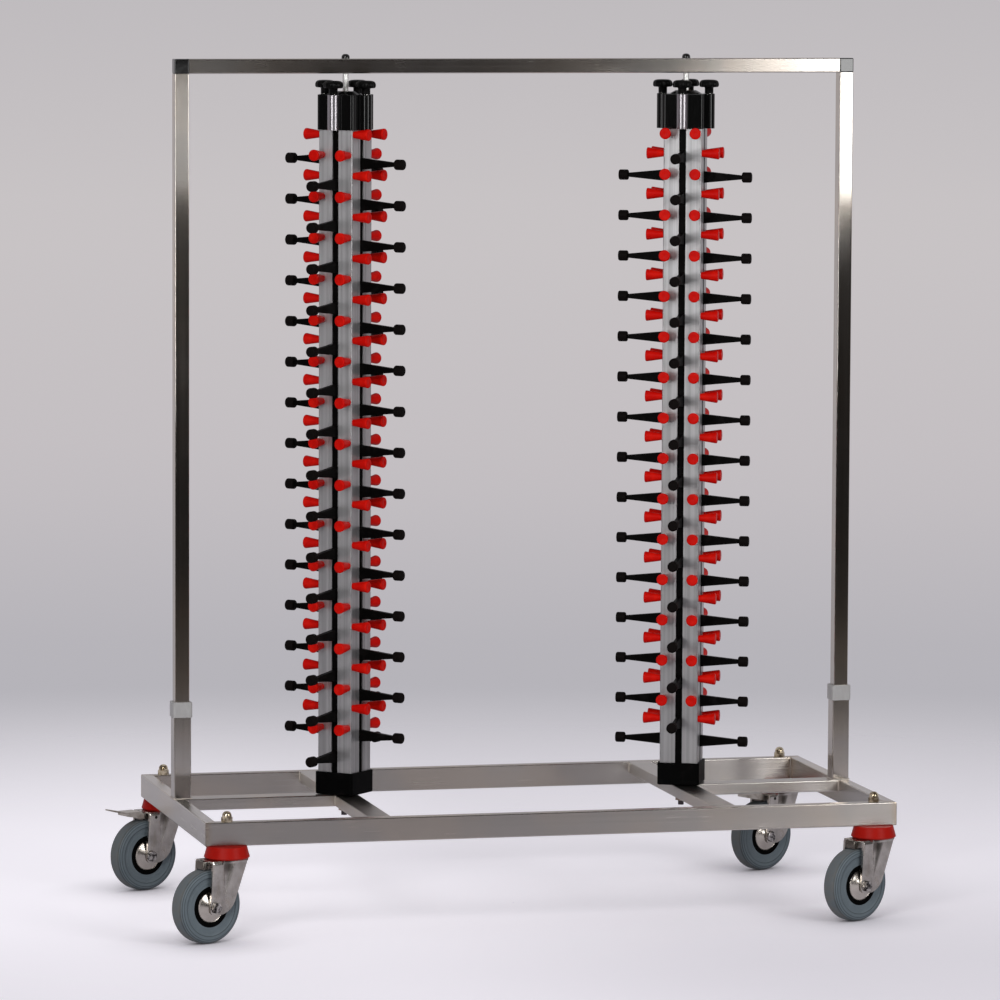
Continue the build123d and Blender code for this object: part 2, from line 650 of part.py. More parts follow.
# Caster pieces that stay with the base: king bolts, dome nuts, bearing races and red rings
king_head_top = crown_bottom - MOVING_GAP - NUT_WASHER
ring_bottom = base_bottom - RING_HEIGHT
race_bottom = crown_top + SWIVEL_CUP + MOVING_GAP
race_top = base_bottom - RING_WALL
with BuildPart() as king_bolts:
    with BuildSketch(Plane.XY.offset(king_head_top)):
        with GridLocations(2 * caster_x, 2 * caster_y, 2, 2):
            RegularPolygon(NUT_FLATS / 2, 6, major_radius=False)
    extrude(amount=-BOLT_HEAD)
    with BuildSketch(Plane.XY.offset(king_head_top)):
        with GridLocations(2 * caster_x, 2 * caster_y, 2, 2):
            Circle(KING_RADIUS)
    extrude(amount=base_top + NUT_HEIGHT - king_head_top)
with BuildPart() as king_washers:
    with BuildSketch(Plane.XY.offset(king_head_top)):
        with GridLocations(2 * caster_x, 2 * caster_y, 2, 2):
            Circle(NUT_WASHER_RADIUS)
            Circle(KING_RADIUS, mode=Mode.SUBTRACT)
    extrude(amount=NUT_WASHER)
with BuildPart() as dome_nuts:
    with BuildSketch(Plane.XY.offset(base_top)):
        with GridLocations(2 * caster_x, 2 * caster_y, 2, 2):
            RegularPolygon(NUT_FLATS / 2, 6, major_radius=False)
    extrude(amount=NUT_HEIGHT)
    with BuildSketch(Plane.XY.offset(base_top + NUT_HEIGHT)):
        with GridLocations(2 * caster_x, 2 * caster_y, 2, 2):
            Circle(DOME_RADIUS)
    extrude(amount=DOME_HEIGHT - NUT_HEIGHT)
    fillet(dome_nuts.faces().group_by(Axis.Z)[-1].edges(), radius=DOME_EDGE)
    with BuildSketch(Plane.XY.offset(base_top)):
        with GridLocations(2 * caster_x, 2 * caster_y, 2, 2):
            Circle(KING_RADIUS)
    extrude(amount=NUT_HEIGHT, mode=Mode.SUBTRACT)
with BuildPart() as races:
    with BuildSketch(Plane.XY.offset(race_bottom)):
        with GridLocations(2 * caster_x, 2 * caster_y, 2, 2):
            Circle(RACE_RADIUS)
            Circle(RACE_BORE, mode=Mode.SUBTRACT)
    extrude(amount=race_top - race_bottom)
write_group([king_bolts.part, king_washers.part, dome_nuts.part, races.part], "caster_fasteners")

with BuildPart() as ring:
    with BuildSketch(Plane.XZ):
        Polygon(
            (KING_RADIUS + BOLT_CLEARANCE, base_bottom),
            (RING_TOP_RADIUS, base_bottom),
            (RING_BOTTOM_RADIUS, ring_bottom + RING_CHAMFER),
            (RING_BOTTOM_RADIUS - RING_CHAMFER, ring_bottom),
            (RING_BORE, ring_bottom),
            (RING_BORE, race_top),
            (KING_RADIUS + BOLT_CLEARANCE, race_top),
        )
    revolve(axis=Axis.Z)
with BuildPart() as swivel_rings:
    with GridLocations(2 * caster_x, 2 * caster_y, 2, 2):
        add(ring.part)
write(swivel_rings.part, "swivel_rings")


def caster_fork(spot, braked):
    """The pressed stainless fork: crown, swivel cup, turned-down tail and two legs with raised panels."""
    leg_low = WHEEL_RADIUS - LEG_END
    leg_rear = TRAIL + LEG_REAR
    panel_high = crown_bottom - PANEL_INSET
    with BuildPart() as fork:
        with BuildSketch(placed(spot, Plane.XY.offset(crown_bottom))):
            with Locations(((CROWN_REAR - CROWN_LEAD) / 2, 0)):
                RectangleRounded(CROWN_REAR + CROWN_LEAD, 2 * leg_outside, CROWN_CORNER)
                with Locations(((CROWN_REAR + CROWN_LEAD) / 4, 0)):
                    Rectangle((CROWN_REAR + CROWN_LEAD) / 2, 2 * leg_outside)
        extrude(amount=CROWN_THICKNESS)
        with BuildSketch(placed(spot, Plane.XY.offset(crown_top))):
            Circle(RACE_RADIUS)
        extrude(amount=SWIVEL_CUP)
        for side_v in (-1, 1):
            with BuildSketch(placed(spot, Plane.XZ.offset(-side_v * leg_inside))) as leg:
                Polygon(
                    (-CROWN_LEAD, crown_bottom),
                    (LEG_HEEL, leg_low),
                    (leg_rear, leg_low),
                    (CROWN_REAR, crown_top),
                    (-CROWN_LEAD, crown_top),
                )
                fillet(leg.vertices().group_by(Axis.Y)[0], radius=LEG_CORNER)
            extrude(amount=-side_v * LEG_THICKNESS)
            with BuildSketch(placed(spot, Plane.XZ.offset(-side_v * leg_outside))) as panel:
                Polygon(
                    (PANEL_LEAD, leg_low + PANEL_INSET),
                    (leg_rear - PANEL_INSET, leg_low + PANEL_INSET),
                    (CROWN_REAR - PANEL_INSET, panel_high),
                    (PANEL_LEAD, panel_high),
                )
                fillet(panel.vertices().group_by(Axis.Y)[0], radius=LEG_CORNER)
            extrude(amount=-side_v * PANEL_RAISE, taper=PANEL_TAPER)
        with BuildSketch(placed(spot, Plane.XY.offset(crown_top))):
            with Locations(((CROWN_REAR + TAIL_END) / 2, 0)):
                Rectangle(TAIL_END - CROWN_REAR, 2 * TAIL_HALF_WIDTH)
        extrude(amount=-TAIL_SKIRT)
        with BuildSketch(placed(spot, Plane.XY.offset(crown_bottom))):
            with Locations(((CROWN_REAR + TAIL_END) / 2 - SHEET, 0)):
                Rectangle(TAIL_END - CROWN_REAR, 2 * (TAIL_HALF_WIDTH - SHEET))
        extrude(amount=CROWN_THICKNESS - TAIL_SKIRT, mode=Mode.SUBTRACT)
        with BuildSketch(placed(spot, Plane.XY.offset(crown_bottom))):
            Circle(KING_RADIUS + RUNNING_FIT)
        extrude(amount=CROWN_THICKNESS + SWIVEL_CUP, mode=Mode.SUBTRACT)
        through = leg_outside + PANEL_RAISE
        with BuildSketch(placed(spot, Plane.XZ.offset(-through))):
            with Locations((TRAIL, WHEEL_RADIUS)):
                Circle(AXLE_RADIUS)
            if braked:
                with Locations(pedal_pivot):
                    Circle(PEDAL_PIN_RADIUS + RUNNING_FIT)
        extrude(amount=2 * through, mode=Mode.SUBTRACT)
    return fork.part


def caster_axle(spot, nut_side):
    """The axle bolt: a low round head on one leg and a hexagon nut on the other."""
    seat = leg_outside + PANEL_RAISE
    hub_centre = (TRAIL, 0, WHEEL_RADIUS)
    axle_plane = placed(spot, Plane(origin=hub_centre, x_dir=(1, 0, 0), z_dir=(0, nut_side, 0)))
    along = Axis(axle_plane.origin, axle_plane.z_dir)
    with BuildPart() as bolt:
        with BuildSketch(axle_plane.offset(-seat)):
            Circle(AXLE_RADIUS)
        extrude(amount=2 * seat + AXLE_NUT + THREAD_PROUD)
        with BuildSketch(axle_plane.offset(-seat)):
            Circle(AXLE_HEAD_RADIUS)
        extrude(amount=-AXLE_HEAD)
        fillet(bolt.faces().sort_by(along)[0].edges(), radius=AXLE_HEAD / 2)
    with BuildPart() as nut:
        with BuildSketch(axle_plane.offset(seat)):
            RegularPolygon(AXLE_FLATS / 2, 6, major_radius=False)
            Circle(AXLE_RADIUS, mode=Mode.SUBTRACT)
        extrude(amount=AXLE_NUT)
    return [bolt.part, nut.part]


def wheel_section(spot):
    """The half plane through the axle in which a wheel's sections are drawn: across, then outwards."""
    return placed(spot, Plane(origin=(TRAIL, 0, WHEEL_RADIUS), x_dir=(0, 1, 0), z_dir=(1, 0, 0)))


def caster_tyre(spot):
    """The grey rubber tyre, with one step on each side and a rounded tread."""
    half = WHEEL_WIDTH / 2
    section = wheel_section(spot)
    tread_edge = WHEEL_RADIUS - TREAD_CROWN
    with BuildPart() as tyre:
        with BuildSketch(section):
            with BuildLine():
                Polyline(
                    (-half, shoulder_radius),
                    (-half, step_radius + TYRE_STEP),
                    (TYRE_STEP - half, step_radius),
                    (TYRE_STEP - half, rim_radius),
                    (half - TYRE_STEP, rim_radius),
                    (half - TYRE_STEP, step_radius),
                    (half, step_radius + TYRE_STEP),
                    (half, shoulder_radius),
                )
                right = TangentArc((half, shoulder_radius), (TREAD_HALF, tread_edge), tangent=(0, 1))
                left = TangentArc((-half, shoulder_radius), (-TREAD_HALF, tread_edge), tangent=(0, 1))
                ThreePointArc(right @ 1, (0, WHEEL_RADIUS), left @ 1)
            make_face()
        revolve(axis=Axis(section.origin, section.x_dir))
    return tyre.part


def caster_hub(spot):
    """The black rim with its web and hub tube, and a dished steel disc on each side."""
    section = wheel_section(spot)
    axle_line = Axis(section.origin, section.x_dir)
    bore = AXLE_RADIUS + RUNNING_FIT
    with BuildPart() as rim:
        with BuildSketch(section):
            with Locations((0, (rim_radius + rim_flange) / 2)):
                Rectangle(2 * RIM_HALF_WIDTH, rim_radius - rim_flange)
            with Locations((0, (rim_flange + bore) / 2)):
                Rectangle(2 * RIM_WEB, rim_flange - bore)
            with Locations((0, (HUB_RADIUS + bore) / 2)):
                Rectangle(2 * hub_half, HUB_RADIUS - bore)
        revolve(axis=axle_line)
    discs = []
    for side_v in (-1, 1):
        outer = side_v * (RIM_HALF_WIDTH - DISC_THICKNESS)
        dished = outer + side_v * DISC_DISH
        with BuildPart() as disc:
            with BuildSketch(section):
                Polygon(
                    (outer, rim_flange),
                    (outer + side_v * DISC_THICKNESS, rim_flange),
                    (dished + side_v * DISC_THICKNESS, HUB_RADIUS),
                    (dished, HUB_RADIUS),
                )
            revolve(axis=axle_line)
        discs.append(disc.part)
    return [rim.part, *discs]


def brake_pedal(spot):
    """The brake lever: two side plates round the fork's tail, a tread with a tongue, a shoe and a pin."""
    pivot_u, pivot_z = pedal_pivot
    inside = TAIL_HALF_WIDTH + PEDAL_GAP
    tread_bottom = pedal_top - SHEET
    skirt_bottom = pedal_top - PEDAL_SKIRT
    with BuildPart() as lever:
        for side_v in (-1, 1):
            with BuildSketch(placed(spot, Plane.XZ.offset(-side_v * inside))):
                Polygon(
                    (pivot_u, pivot_z - PEDAL_EYE),
                    (PEDAL_START, pivot_z - PEDAL_EYE + SHEET),
                    (PEDAL_END, skirt_bottom),
                    (PEDAL_END, pedal_top),
                    (PEDAL_START, pedal_top),
                    (SHOE_REAR, pivot_z + PEDAL_EYE),
                    (pivot_u, pivot_z + PEDAL_EYE),
                )
                with Locations(pedal_pivot):
                    Circle(PEDAL_EYE)
                    Circle(PEDAL_PIN_RADIUS, mode=Mode.SUBTRACT)
            extrude(amount=-side_v * SHEET)
        with BuildSketch(placed(spot, Plane.XZ)):
            Polygon(
                (PEDAL_START, tread_bottom),
                (PEDAL_END - SHEET, tread_bottom),
                (PEDAL_END - SHEET, skirt_bottom),
                (PEDAL_END, skirt_bottom),
                (PEDAL_END, tread_bottom),
                (TONGUE_END, tread_bottom + TONGUE_RISE),
                (TONGUE_END, pedal_top + TONGUE_RISE),
                (PEDAL_END, pedal_top),
                (PEDAL_START, pedal_top),
            )
        extrude(amount=inside + SHEET, both=True)
    with BuildPart() as shoe:
        with BuildSketch(placed(spot, Plane.XY.offset(crown_bottom - SHOE_DROP))):
            with Locations(((SHOE_LEAD + SHOE_REAR) / 2, 0)):
                Rectangle(SHOE_REAR - SHOE_LEAD, 2 * inside)
        extrude(amount=SHOE_HEIGHT)
    with BuildPart() as pin:
        with BuildSketch(placed(spot, Plane.XZ)):
            with Locations(pedal_pivot):
                Circle(PEDAL_PIN_RADIUS)
        extrude(amount=leg_outside, both=True)
    return [lever.part, shoe.part, pin.part]


for corner, (x, y) in caster_spots.items():
    spot = Location((x, y, 0), (0, 0, CASTER_YAWS[corner]))
    braked = corner.startswith("rear")
    write(caster_fork(spot, braked), f"{corner}_fork")
    write_group(caster_axle(spot, -1 if braked else 1), f"{corner}_axle")
    write(caster_tyre(spot), f"{corner}_tyre")
    write_group(caster_hub(spot), f"{corner}_wheel_hub")
    if braked:
        write_group(brake_pedal(spot), f"{corner}_brake_pedal")
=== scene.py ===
import json
from math import cos, pi, radians, sin

import bpy
from mathutils import Matrix, Vector


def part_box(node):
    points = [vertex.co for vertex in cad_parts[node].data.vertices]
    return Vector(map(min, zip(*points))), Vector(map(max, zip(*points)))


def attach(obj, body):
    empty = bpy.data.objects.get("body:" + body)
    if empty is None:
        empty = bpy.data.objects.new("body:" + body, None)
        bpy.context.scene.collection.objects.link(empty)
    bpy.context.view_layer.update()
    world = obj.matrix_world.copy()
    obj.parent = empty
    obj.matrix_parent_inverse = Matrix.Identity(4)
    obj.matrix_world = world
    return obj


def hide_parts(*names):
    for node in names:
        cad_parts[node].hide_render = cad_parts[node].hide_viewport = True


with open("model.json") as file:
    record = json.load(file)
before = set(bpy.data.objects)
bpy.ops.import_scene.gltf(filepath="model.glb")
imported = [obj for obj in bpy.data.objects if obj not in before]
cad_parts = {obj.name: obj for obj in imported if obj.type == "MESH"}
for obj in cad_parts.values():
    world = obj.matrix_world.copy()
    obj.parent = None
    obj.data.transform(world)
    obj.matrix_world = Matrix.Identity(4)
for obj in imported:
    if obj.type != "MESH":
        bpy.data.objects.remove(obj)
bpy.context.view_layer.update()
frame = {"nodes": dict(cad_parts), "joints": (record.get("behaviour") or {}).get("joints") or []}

# Base beams
# Four lengths of 40 x 20 stainless tube stand on edge, mitred and welded into a rectangle.
# The mill's long brush lines are left on, and the weld heat has tinted the steel at each corner.
STEEL_DARK = (0.43, 0.40, 0.37, 1.0)
STEEL_LIGHT = (0.66, 0.63, 0.595, 1.0)
WARM_TINT = (0.66, 0.57, 0.48, 1.0)
STRAW_TINT = (0.50, 0.36, 0.20, 1.0)
SEAM_TONE = (0.20, 0.18, 0.16, 1.0)
MITRE_SHIFT = 0.3
CORNER_START = 0.555
CORNER_FADE = 0.012
HEAT_FADE = (0.014, 0.002)
SEAM_FADE = (0.0011, 0.0004)
BRUSH_ALONG = 3.0
BRUSH_ACROSS = 1500.0
STREAK_ALONG = 1.3
STREAK_ACROSS = 190.0


class Wire:
    """A socket of a shader's tree. Sums with it add Math nodes, and node() adds any other kind."""

    def __init__(self, socket):
        self.socket = socket

    def node(self, kind, settings, sockets, output=0):
        tree = self.socket.id_data
        made = tree.nodes.new(kind)
        for name, value in settings.items():
            if name == "stops":
                for stop, (where, colour) in zip(made.color_ramp.elements, value):
                    stop.position = where
                    stop.color = colour
                for where, colour in value[len(made.color_ramp.elements):]:
                    made.color_ramp.elements.new(where).color = colour
            else:
                setattr(made, name, value)
        for name, value in sockets.items():
            if isinstance(value, Wire):
                tree.links.new(value.socket, made.inputs[name])
            else:
                made.inputs[name].default_value = value
        return Wire(made.outputs[output])

    def maths(self, operation, first, second=0.0):
        return self.node("ShaderNodeMath", {"operation": operation}, {0: first, 1: second})

    def vectors(self, operation, other, output=0):
        return self.node("ShaderNodeVectorMath", {"operation": operation}, {0: self, 1: other}, output)

    def length(self):
        return self.node("ShaderNodeVectorMath", {"operation": "LENGTH"}, {0: self}, "Value")

    def __add__(self, other):
        return self.maths("ADD", self, other)

    __radd__ = __add__

    def __sub__(self, other):
        return self.maths("SUBTRACT", self, other)

    def __rsub__(self, other):
        return self.maths("SUBTRACT", other, self)

    def __mul__(self, other):
        return self.maths("MULTIPLY", self, other)

    __rmul__ = __mul__

    def __abs__(self):
        return self.maths("ABSOLUTE", self)

    def __gt__(self, other):
        return self.maths("GREATER_THAN", self, other)


def new_finish(name, steady):
    """A material, its shader with the values that are even all over, and the place on the piece."""
    material = bpy.data.materials.new(name)
    material.use_nodes = True
    shader = material.node_tree.nodes["Principled BSDF"]
    for socket, value in steady.items():
        shader.inputs[socket].default_value = value
    coordinates = material.node_tree.nodes.new("ShaderNodeTexCoord")
    return material, shader, Wire(coordinates.outputs["Object"])


def feed(shader, varied):
    """Links what changes over the surface to the shader's sockets."""
    for socket, wire in varied.items():
        shader.id_data.links.new(wire.socket, shader.inputs[socket])


def grain(place, stretch, detail):
    """Noise from 0 to 1 whose size along each axis comes from its own stretch, in cells per metre."""
    cells = place.vectors("MULTIPLY", stretch)
    return cells.node("ShaderNodeTexNoise", {}, {"Vector": cells, "Scale": 1.0, "Detail": detail})


def speckle(place, cells, detail):
    """The same noise with cells of one size along every axis."""
    return grain(place, (cells, cells, cells), detail)


def ease(value, start, end):
    """A soft step from 0 at the start to 1 at the end."""
    return value.node(
        "ShaderNodeMapRange",
        {"interpolation_type": "SMOOTHSTEP"},
        {"Value": value, "From Min": start, "From Max": end},
    )


def tone(factor, first, second):
    """A colour between two colours."""
    return factor.node("ShaderNodeMix", {"data_type": "RGBA"}, {0: factor, 6: first, 7: second}, 2)


def part_of(place, axis):
    """One coordinate of a place."""
    return place.node("ShaderNodeSeparateXYZ", {}, {0: place}, axis)


def bump(height, strength, distance):
    """A surface normal raised by a height."""
    return height.node(
        "ShaderNodeBump", {}, {"Height": height, "Strength": strength, "Distance": distance}
    )


def mitre_heat(place):
    """How near a point is to a corner's mitred weld, and the thin line of the weld itself."""
    across = abs(abs(part_of(place, "X")) - abs(part_of(place, "Y")) - MITRE_SHIFT)
    near = ease(abs(part_of(place, "X")), CORNER_START, CORNER_START + CORNER_FADE)
    return ease(across, *HEAT_FADE) * near, ease(across, *SEAM_FADE) * near


def brushed_steel(name, run, heat=None, roughness=0.17, flow=0.9):
    """Brushed stainless whose lines follow the tube's run, the axis given by a 1."""
    across = [1.0 - step for step in run]
    material, shader, place = new_finish(name, {"Metallic": 1.0, "Anisotropic": flow})
    fine = grain(place, [BRUSH_ALONG if step else BRUSH_ACROSS for step in run], 2.0)
    streak = grain(place, [STREAK_ALONG if step else STREAK_ACROSS for step in run], 3.0)
    smudge = ease(speckle(place, 13.0, 4.0), 0.42, 0.68)
    colour = tone(fine * 0.45 + streak * 0.55, STEEL_DARK, STEEL_LIGHT)
    patina = ease(speckle(place, 6.0, 3.0), 0.42, 0.66)
    colour = tone(patina * 0.45, colour, WARM_TINT)
    if heat:
        warm, seam = heat(place)
        patchy = warm * (0.15 + 0.35 * speckle(place, 150.0, 2.0))
        colour = tone(patchy, colour, STRAW_TINT)
        colour = tone(seam * 0.7, colour, SEAM_TONE)
    feed(
        shader,
        {
            "Base Color": colour,
            "Roughness": roughness + 0.08 * fine + 0.06 * streak + 0.025 * smudge,
            "Normal": bump(fine, 0.03, 0.0001),
            "Tangent": place.node(
                "ShaderNodeCombineXYZ", {}, {"X": across[0], "Y": across[1], "Z": across[2]}
            ),
        },
    )
    return material


def dress(names, material):
    """Gives CAD nodes their finish."""
    for name in names:
        for entry in frame["nodes"][name].material_slots:
            entry.link = "OBJECT"
            entry.material = material


steel_along_x = brushed_steel("stainless_along_x", (1, 0, 0), mitre_heat)
steel_along_y = brushed_steel("stainless_along_y", (0, 1, 0), mitre_heat)
dress(("front_beam", "rear_beam"), steel_along_x)
dress(("left_side_beam", "right_side_beam"), steel_along_y)

# Cross-beams and mid-beams
# Flat 40 x 20 tubes tie the rectangle together: two run front to back under the columns, and two
# short ones run in from the side beams. They are the same brushed stainless, welded at both ends.
dress(("cross_beams",), brushed_steel("stainless_cross", (0, 1, 0), roughness=0.30))
dress(("mid_beams",), brushed_steel("stainless_mid", (1, 0, 0)))

# Post sockets, posts and top bar
# Two 30 x 30 stubs are welded on the side beams. The 25 x 25 posts drop into them and carry the top
# bar, so the upper frame lifts off. All of it is brushed stainless tube.
steel_upright = brushed_steel("stainless_upright", (0, 0, 1), roughness=0.07, flow=1.0)
dress(("post_sockets", "posts"), steel_upright)
dress(("top_bar",), brushed_steel("stainless_bar", (1, 0, 0)))

# Weld beads
# Hand-laid beads close the joints that show: round the foot of each socket, down the corners where
# the cross-beams and mid-beams meet the rectangle, and inside the rectangle's own corners.
BEAD_LEG = 0.0018
BEAD_STEP = 0.0005
BEAD_RIPPLE = 0.0021
BEAD_VALLEY = 0.86
BEAD_SWELL = 0.22
BEAD_TAPER = 0.003
BEAD_TIP = 0.05
BEAD_SIDES = 5
BEAD_FAN = 6
BASE_TOP = 0.2
BEAM_WIDTH = 0.04
UPRIGHT = Vector((0, 0, 1))
SHARP_FOLD = radians(40.0)


class MeshDraft:
    """Points and faces that are gathered before they become one mesh."""

    def __init__(self):
        self.points = []
        self.faces = []

    def strip(self, rows, closed_rows=False, closed_round=False):
        """Faces between rows of points: the last row may join the first, and each row may close."""
        start = len(self.points)
        count = len(rows[0])
        for row in rows:
            self.points.extend(row)
        for line in range(len(rows) if closed_rows else len(rows) - 1):
            here = start + line * count
            there = start + (line + 1) % len(rows) * count
            for step in range(count if closed_round else count - 1):
                beside = (step + 1) % count
                self.faces.append((here + step, here + beside, there + beside, there + step))

    def piece(self, name, material):
        mesh = bpy.data.meshes.new(name)
        mesh.from_pydata(self.points, [], self.faces)
        mesh.polygons.foreach_set("use_smooth", [True] * len(mesh.polygons))
        mesh.set_sharp_from_angle(angle=SHARP_FOLD)
        mesh.materials.append(material)
        made = bpy.data.objects.new(name, mesh)
        bpy.context.scene.collection.objects.link(made)
        return made


def lay_bead(draft, path, closed):
    """A rippled fillet along a path of corner points, each with the two ways out along its walls."""
    rows = []
    for index, (corner, wall, floor) in enumerate(path):
        travelled = index * BEAD_STEP
        ripple = abs(sin(pi * travelled / BEAD_RIPPLE))
        leg = BEAD_LEG * (BEAD_VALLEY + (1.0 - BEAD_VALLEY) * ripple)
        if not closed:
            left = min(travelled, (len(path) - 1 - index) * BEAD_STEP)
            leg *= max(BEAD_TIP, min(1.0, left / BEAD_TAPER))
        row = []
        for side in range(BEAD_SIDES):
            share = side / (BEAD_SIDES - 1)
            swell = BEAD_SWELL * sin(pi * share)
            row.append(corner + leg * ((1 - share + swell) * wall + (share + swell) * floor))
        rows.append(row)
    draft.strip(rows, closed_rows=closed)


def straight_path(start, end, wall, floor):
    steps = int((end - start).length / BEAD_STEP)
    return [(start.lerp(end, step / steps), wall, floor) for step in range(steps + 1)]


def foot_path(centre, half):
    """Round the foot of a square stub: out along the beam, and up the stub's wall."""
    path = []
    for turn in range(4):
        spin = Matrix.Rotation(turn * pi / 2, 3, "Z")
        out = spin @ Vector((1, 0, 0))
        start = centre + spin @ Vector((half, -half, 0))
        end = centre + spin @ Vector((half, half, 0))
        path.extend(straight_path(start, end, UPRIGHT, out))
        for step in range(1, BEAD_FAN):
            fan = Matrix.Rotation(step * pi / (2 * BEAD_FAN), 3, "Z")
            path.append((end, UPRIGHT, fan @ out))
    return path


def lay_corner(draft, x, y, low, wall, floor):
    """A bead up an inside corner, from a height to the top of the base."""
    path = straight_path(Vector((x, y, low)), Vector((x, y, BASE_TOP)), wall, floor)
    lay_bead(draft, path, False)


weld_draft = MeshDraft()
socket_low, socket_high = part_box("post_sockets")
socket_half = (socket_high.y - socket_low.y) / 2
base_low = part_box("front_beam")[0].z
cross_low, cross_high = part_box("cross_beams")
mid_low, mid_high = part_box("mid_beams")
for side in (-1, 1):
    foot = Vector((side * (socket_high.x - socket_half), 0, BASE_TOP))
    lay_bead(weld_draft, foot_path(foot, socket_half), True)
    along_x = Vector((side, 0, 0))
    for end in (-1, 1):
        along_y = Vector((0, end, 0))
        lay_corner(weld_draft, side * mid_high.x, end * cross_high.y, base_low, -along_x, -along_y)
        for cheek, way in ((cross_high.x, along_x), (cross_high.x - BEAM_WIDTH, -along_x)):
            lay_corner(weld_draft, side * cheek, end * cross_high.y, cross_low.z, way, -along_y)
        for cheek, way in ((mid_high.x, -along_x), (cross_high.x, along_x)):
            lay_corner(weld_draft, side * cheek, end * mid_high.y, mid_low.z, way, along_y)

bead_finish, bead_shader, bead_place = new_finish("weld_bead", {"Metallic": 1.0})
bead_cells = speckle(bead_place, 420.0, 3.0)
feed(
    bead_shader,
    {
        "Base Color": tone(bead_cells, (0.34, 0.29, 0.24, 1.0), (0.56, 0.52, 0.48, 1.0)),
        "Roughness": 0.30 + 0.20 * bead_cells,
        "Normal": bump(bead_cells, 0.3, 0.0003),
    },
)
weld_beads = weld_draft.piece("weld_beads", bead_finish)
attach(weld_beads, "frame")

# Socket collars
# A milky plastic collar is pressed over the mouth of each socket and steadies the post in it. It is
# injection moulded in polyethylene, so the steel behind shows through a little.
collar_finish, collar_shader, collar_place = new_finish(
    "milky_collar", {"IOR": 1.5, "Transmission Weight": 0.35, "Specular IOR Level": 0.5}
)
collar_cloud = grain(collar_place, (160.0, 160.0, 60.0), 3.0)
feed(
    collar_shader,
    {
        "Base Color": tone(collar_cloud, (0.44, 0.43, 0.42, 1.0), (0.60, 0.59, 0.58, 1.0)),
        "Roughness": 0.28 + 0.16 * collar_cloud,
        "Normal": bump(speckle(collar_place, 900.0, 2.0), 0.08, 0.0002),
    },
)
dress(("socket_collars",), collar_finish)

# Corner connectors
# Moulded black corner blocks plug into the posts and the top bar. The nylon is glossy straight from
# the mould, with a faint ripple in the surface.
gloss_finish, gloss_shader, gloss_place = new_finish("gloss_black", {"Specular IOR Level": 0.7})
gloss_ripple = speckle(gloss_place, 70.0, 2.0)
gloss_dust = ease(speckle(gloss_place, 420.0, 5.0), 0.55, 0.85)
feed(
    gloss_shader,
    {
        "Base Color": tone(gloss_dust * 0.4, (0.003, 0.003, 0.003, 1.0), (0.016, 0.015, 0.015, 1.0)),
        "Roughness": 0.05 + 0.04 * gloss_ripple + 0.06 * gloss_dust,
        "Normal": bump(gloss_ripple, 0.05, 0.0010),
    },
)
dress(("corner_connectors",), gloss_finish)

# Spindles and their fasteners
# A bright steel rod runs up through each column from its cross-beam to the top bar. Washers and nuts
# clamp it below, and a domed black cap closes it on top of the bar.
CAP_FADE = (1.4560, 1.4585)
ROD_DARK_FADE = (0.1705, 0.1695)
fastener_finish, fastener_shader, fastener_place = new_finish("capped_fasteners", {})
fastener_smudge = speckle(fastener_place, 95.0, 3.0)
cap_share = ease(part_of(fastener_place, "Z"), *CAP_FADE)
fastener_steel = tone(fastener_smudge, (0.34, 0.25, 0.19, 1.0), (0.52, 0.40, 0.32, 1.0))
feed(
    fastener_shader,
    {
        "Base Color": tone(cap_share, fastener_steel, (0.006, 0.005, 0.005, 1.0)),
        "Metallic": 1.0 - cap_share,
        "Roughness": 0.14 + 0.10 * fastener_smudge,
    },
)
dress(("spindle_fasteners",), fastener_finish)

rod_finish, rod_shader, rod_place = new_finish("ground_rod", {"Metallic": 1.0})
rod_rings = grain(rod_place, (40.0, 40.0, 2200.0), 2.0)
rod_bright = tone(rod_rings, (0.93, 0.92, 0.90, 1.0), (0.99, 0.98, 0.96, 1.0))
# The rod's colour turns dark below a height of about 0.17 m, at its lower end.
rod_dark_below = ease(part_of(rod_place, "Z"), *ROD_DARK_FADE)
feed(
    rod_shader,
    {
        "Base Color": tone(rod_dark_below, rod_bright, (0.07, 0.06, 0.065, 1.0)),
        "Roughness": 0.44 + 0.10 * rod_rings,
        "Normal": bump(rod_rings, 0.08, 0.0001),
    },
)
dress(("spindles",), rod_finish)

# Column profiles
# Square aluminium extrusions with a slot and two fine grooves down each face. They are clear
# anodised, which leaves a satin skin with the die's upright lines in it.
alloy_finish, alloy_shader, alloy_place = new_finish(
    "satin_aluminium", {"Metallic": 1.0, "Anisotropic": 0.55}
)
die_lines = grain(alloy_place, (1100.0, 1100.0, 1.5), 2.0)
die_bands = ease(grain(alloy_place, (160.0, 160.0, 0.8), 2.0), 0.28, 0.72)
alloy_marks = ease(grain(alloy_place, (36.0, 36.0, 22.0), 5.0), 0.50, 0.72)
feed(
    alloy_shader,
    {
        "Base Color": tone(
            die_lines * 0.35 + die_bands * 0.65, (0.33, 0.326, 0.332, 1.0), (0.58, 0.574, 0.585, 1.0)
        ),
        "Roughness": 0.38 + 0.08 * die_lines + 0.07 * alloy_marks,
        "Normal": bump(die_lines, 0.10, 0.0002),
        "Tangent": alloy_place.node("ShaderNodeCombineXYZ", {}, {"X": 1.0, "Y": 1.0, "Z": 0.0}),
    },
)
dress(("left_column_profile", "right_column_profile"), alloy_finish)

# Column feet and heads, with their bushes
# Black moulded housings close each profile at both ends and carry the plain bearings that turn on the
# spindle. The head is glossy, with one boss polished bright, and the foot has the mould's satin grain.
BOSS_FADE = (0.0366, 0.0370)
column_spots = {"left": Vector((-0.3, 0, 0)), "right": Vector((0.3, 0, 0))}
bright_boss = {"left": radians(-133.0), "right": radians(-114.0)}


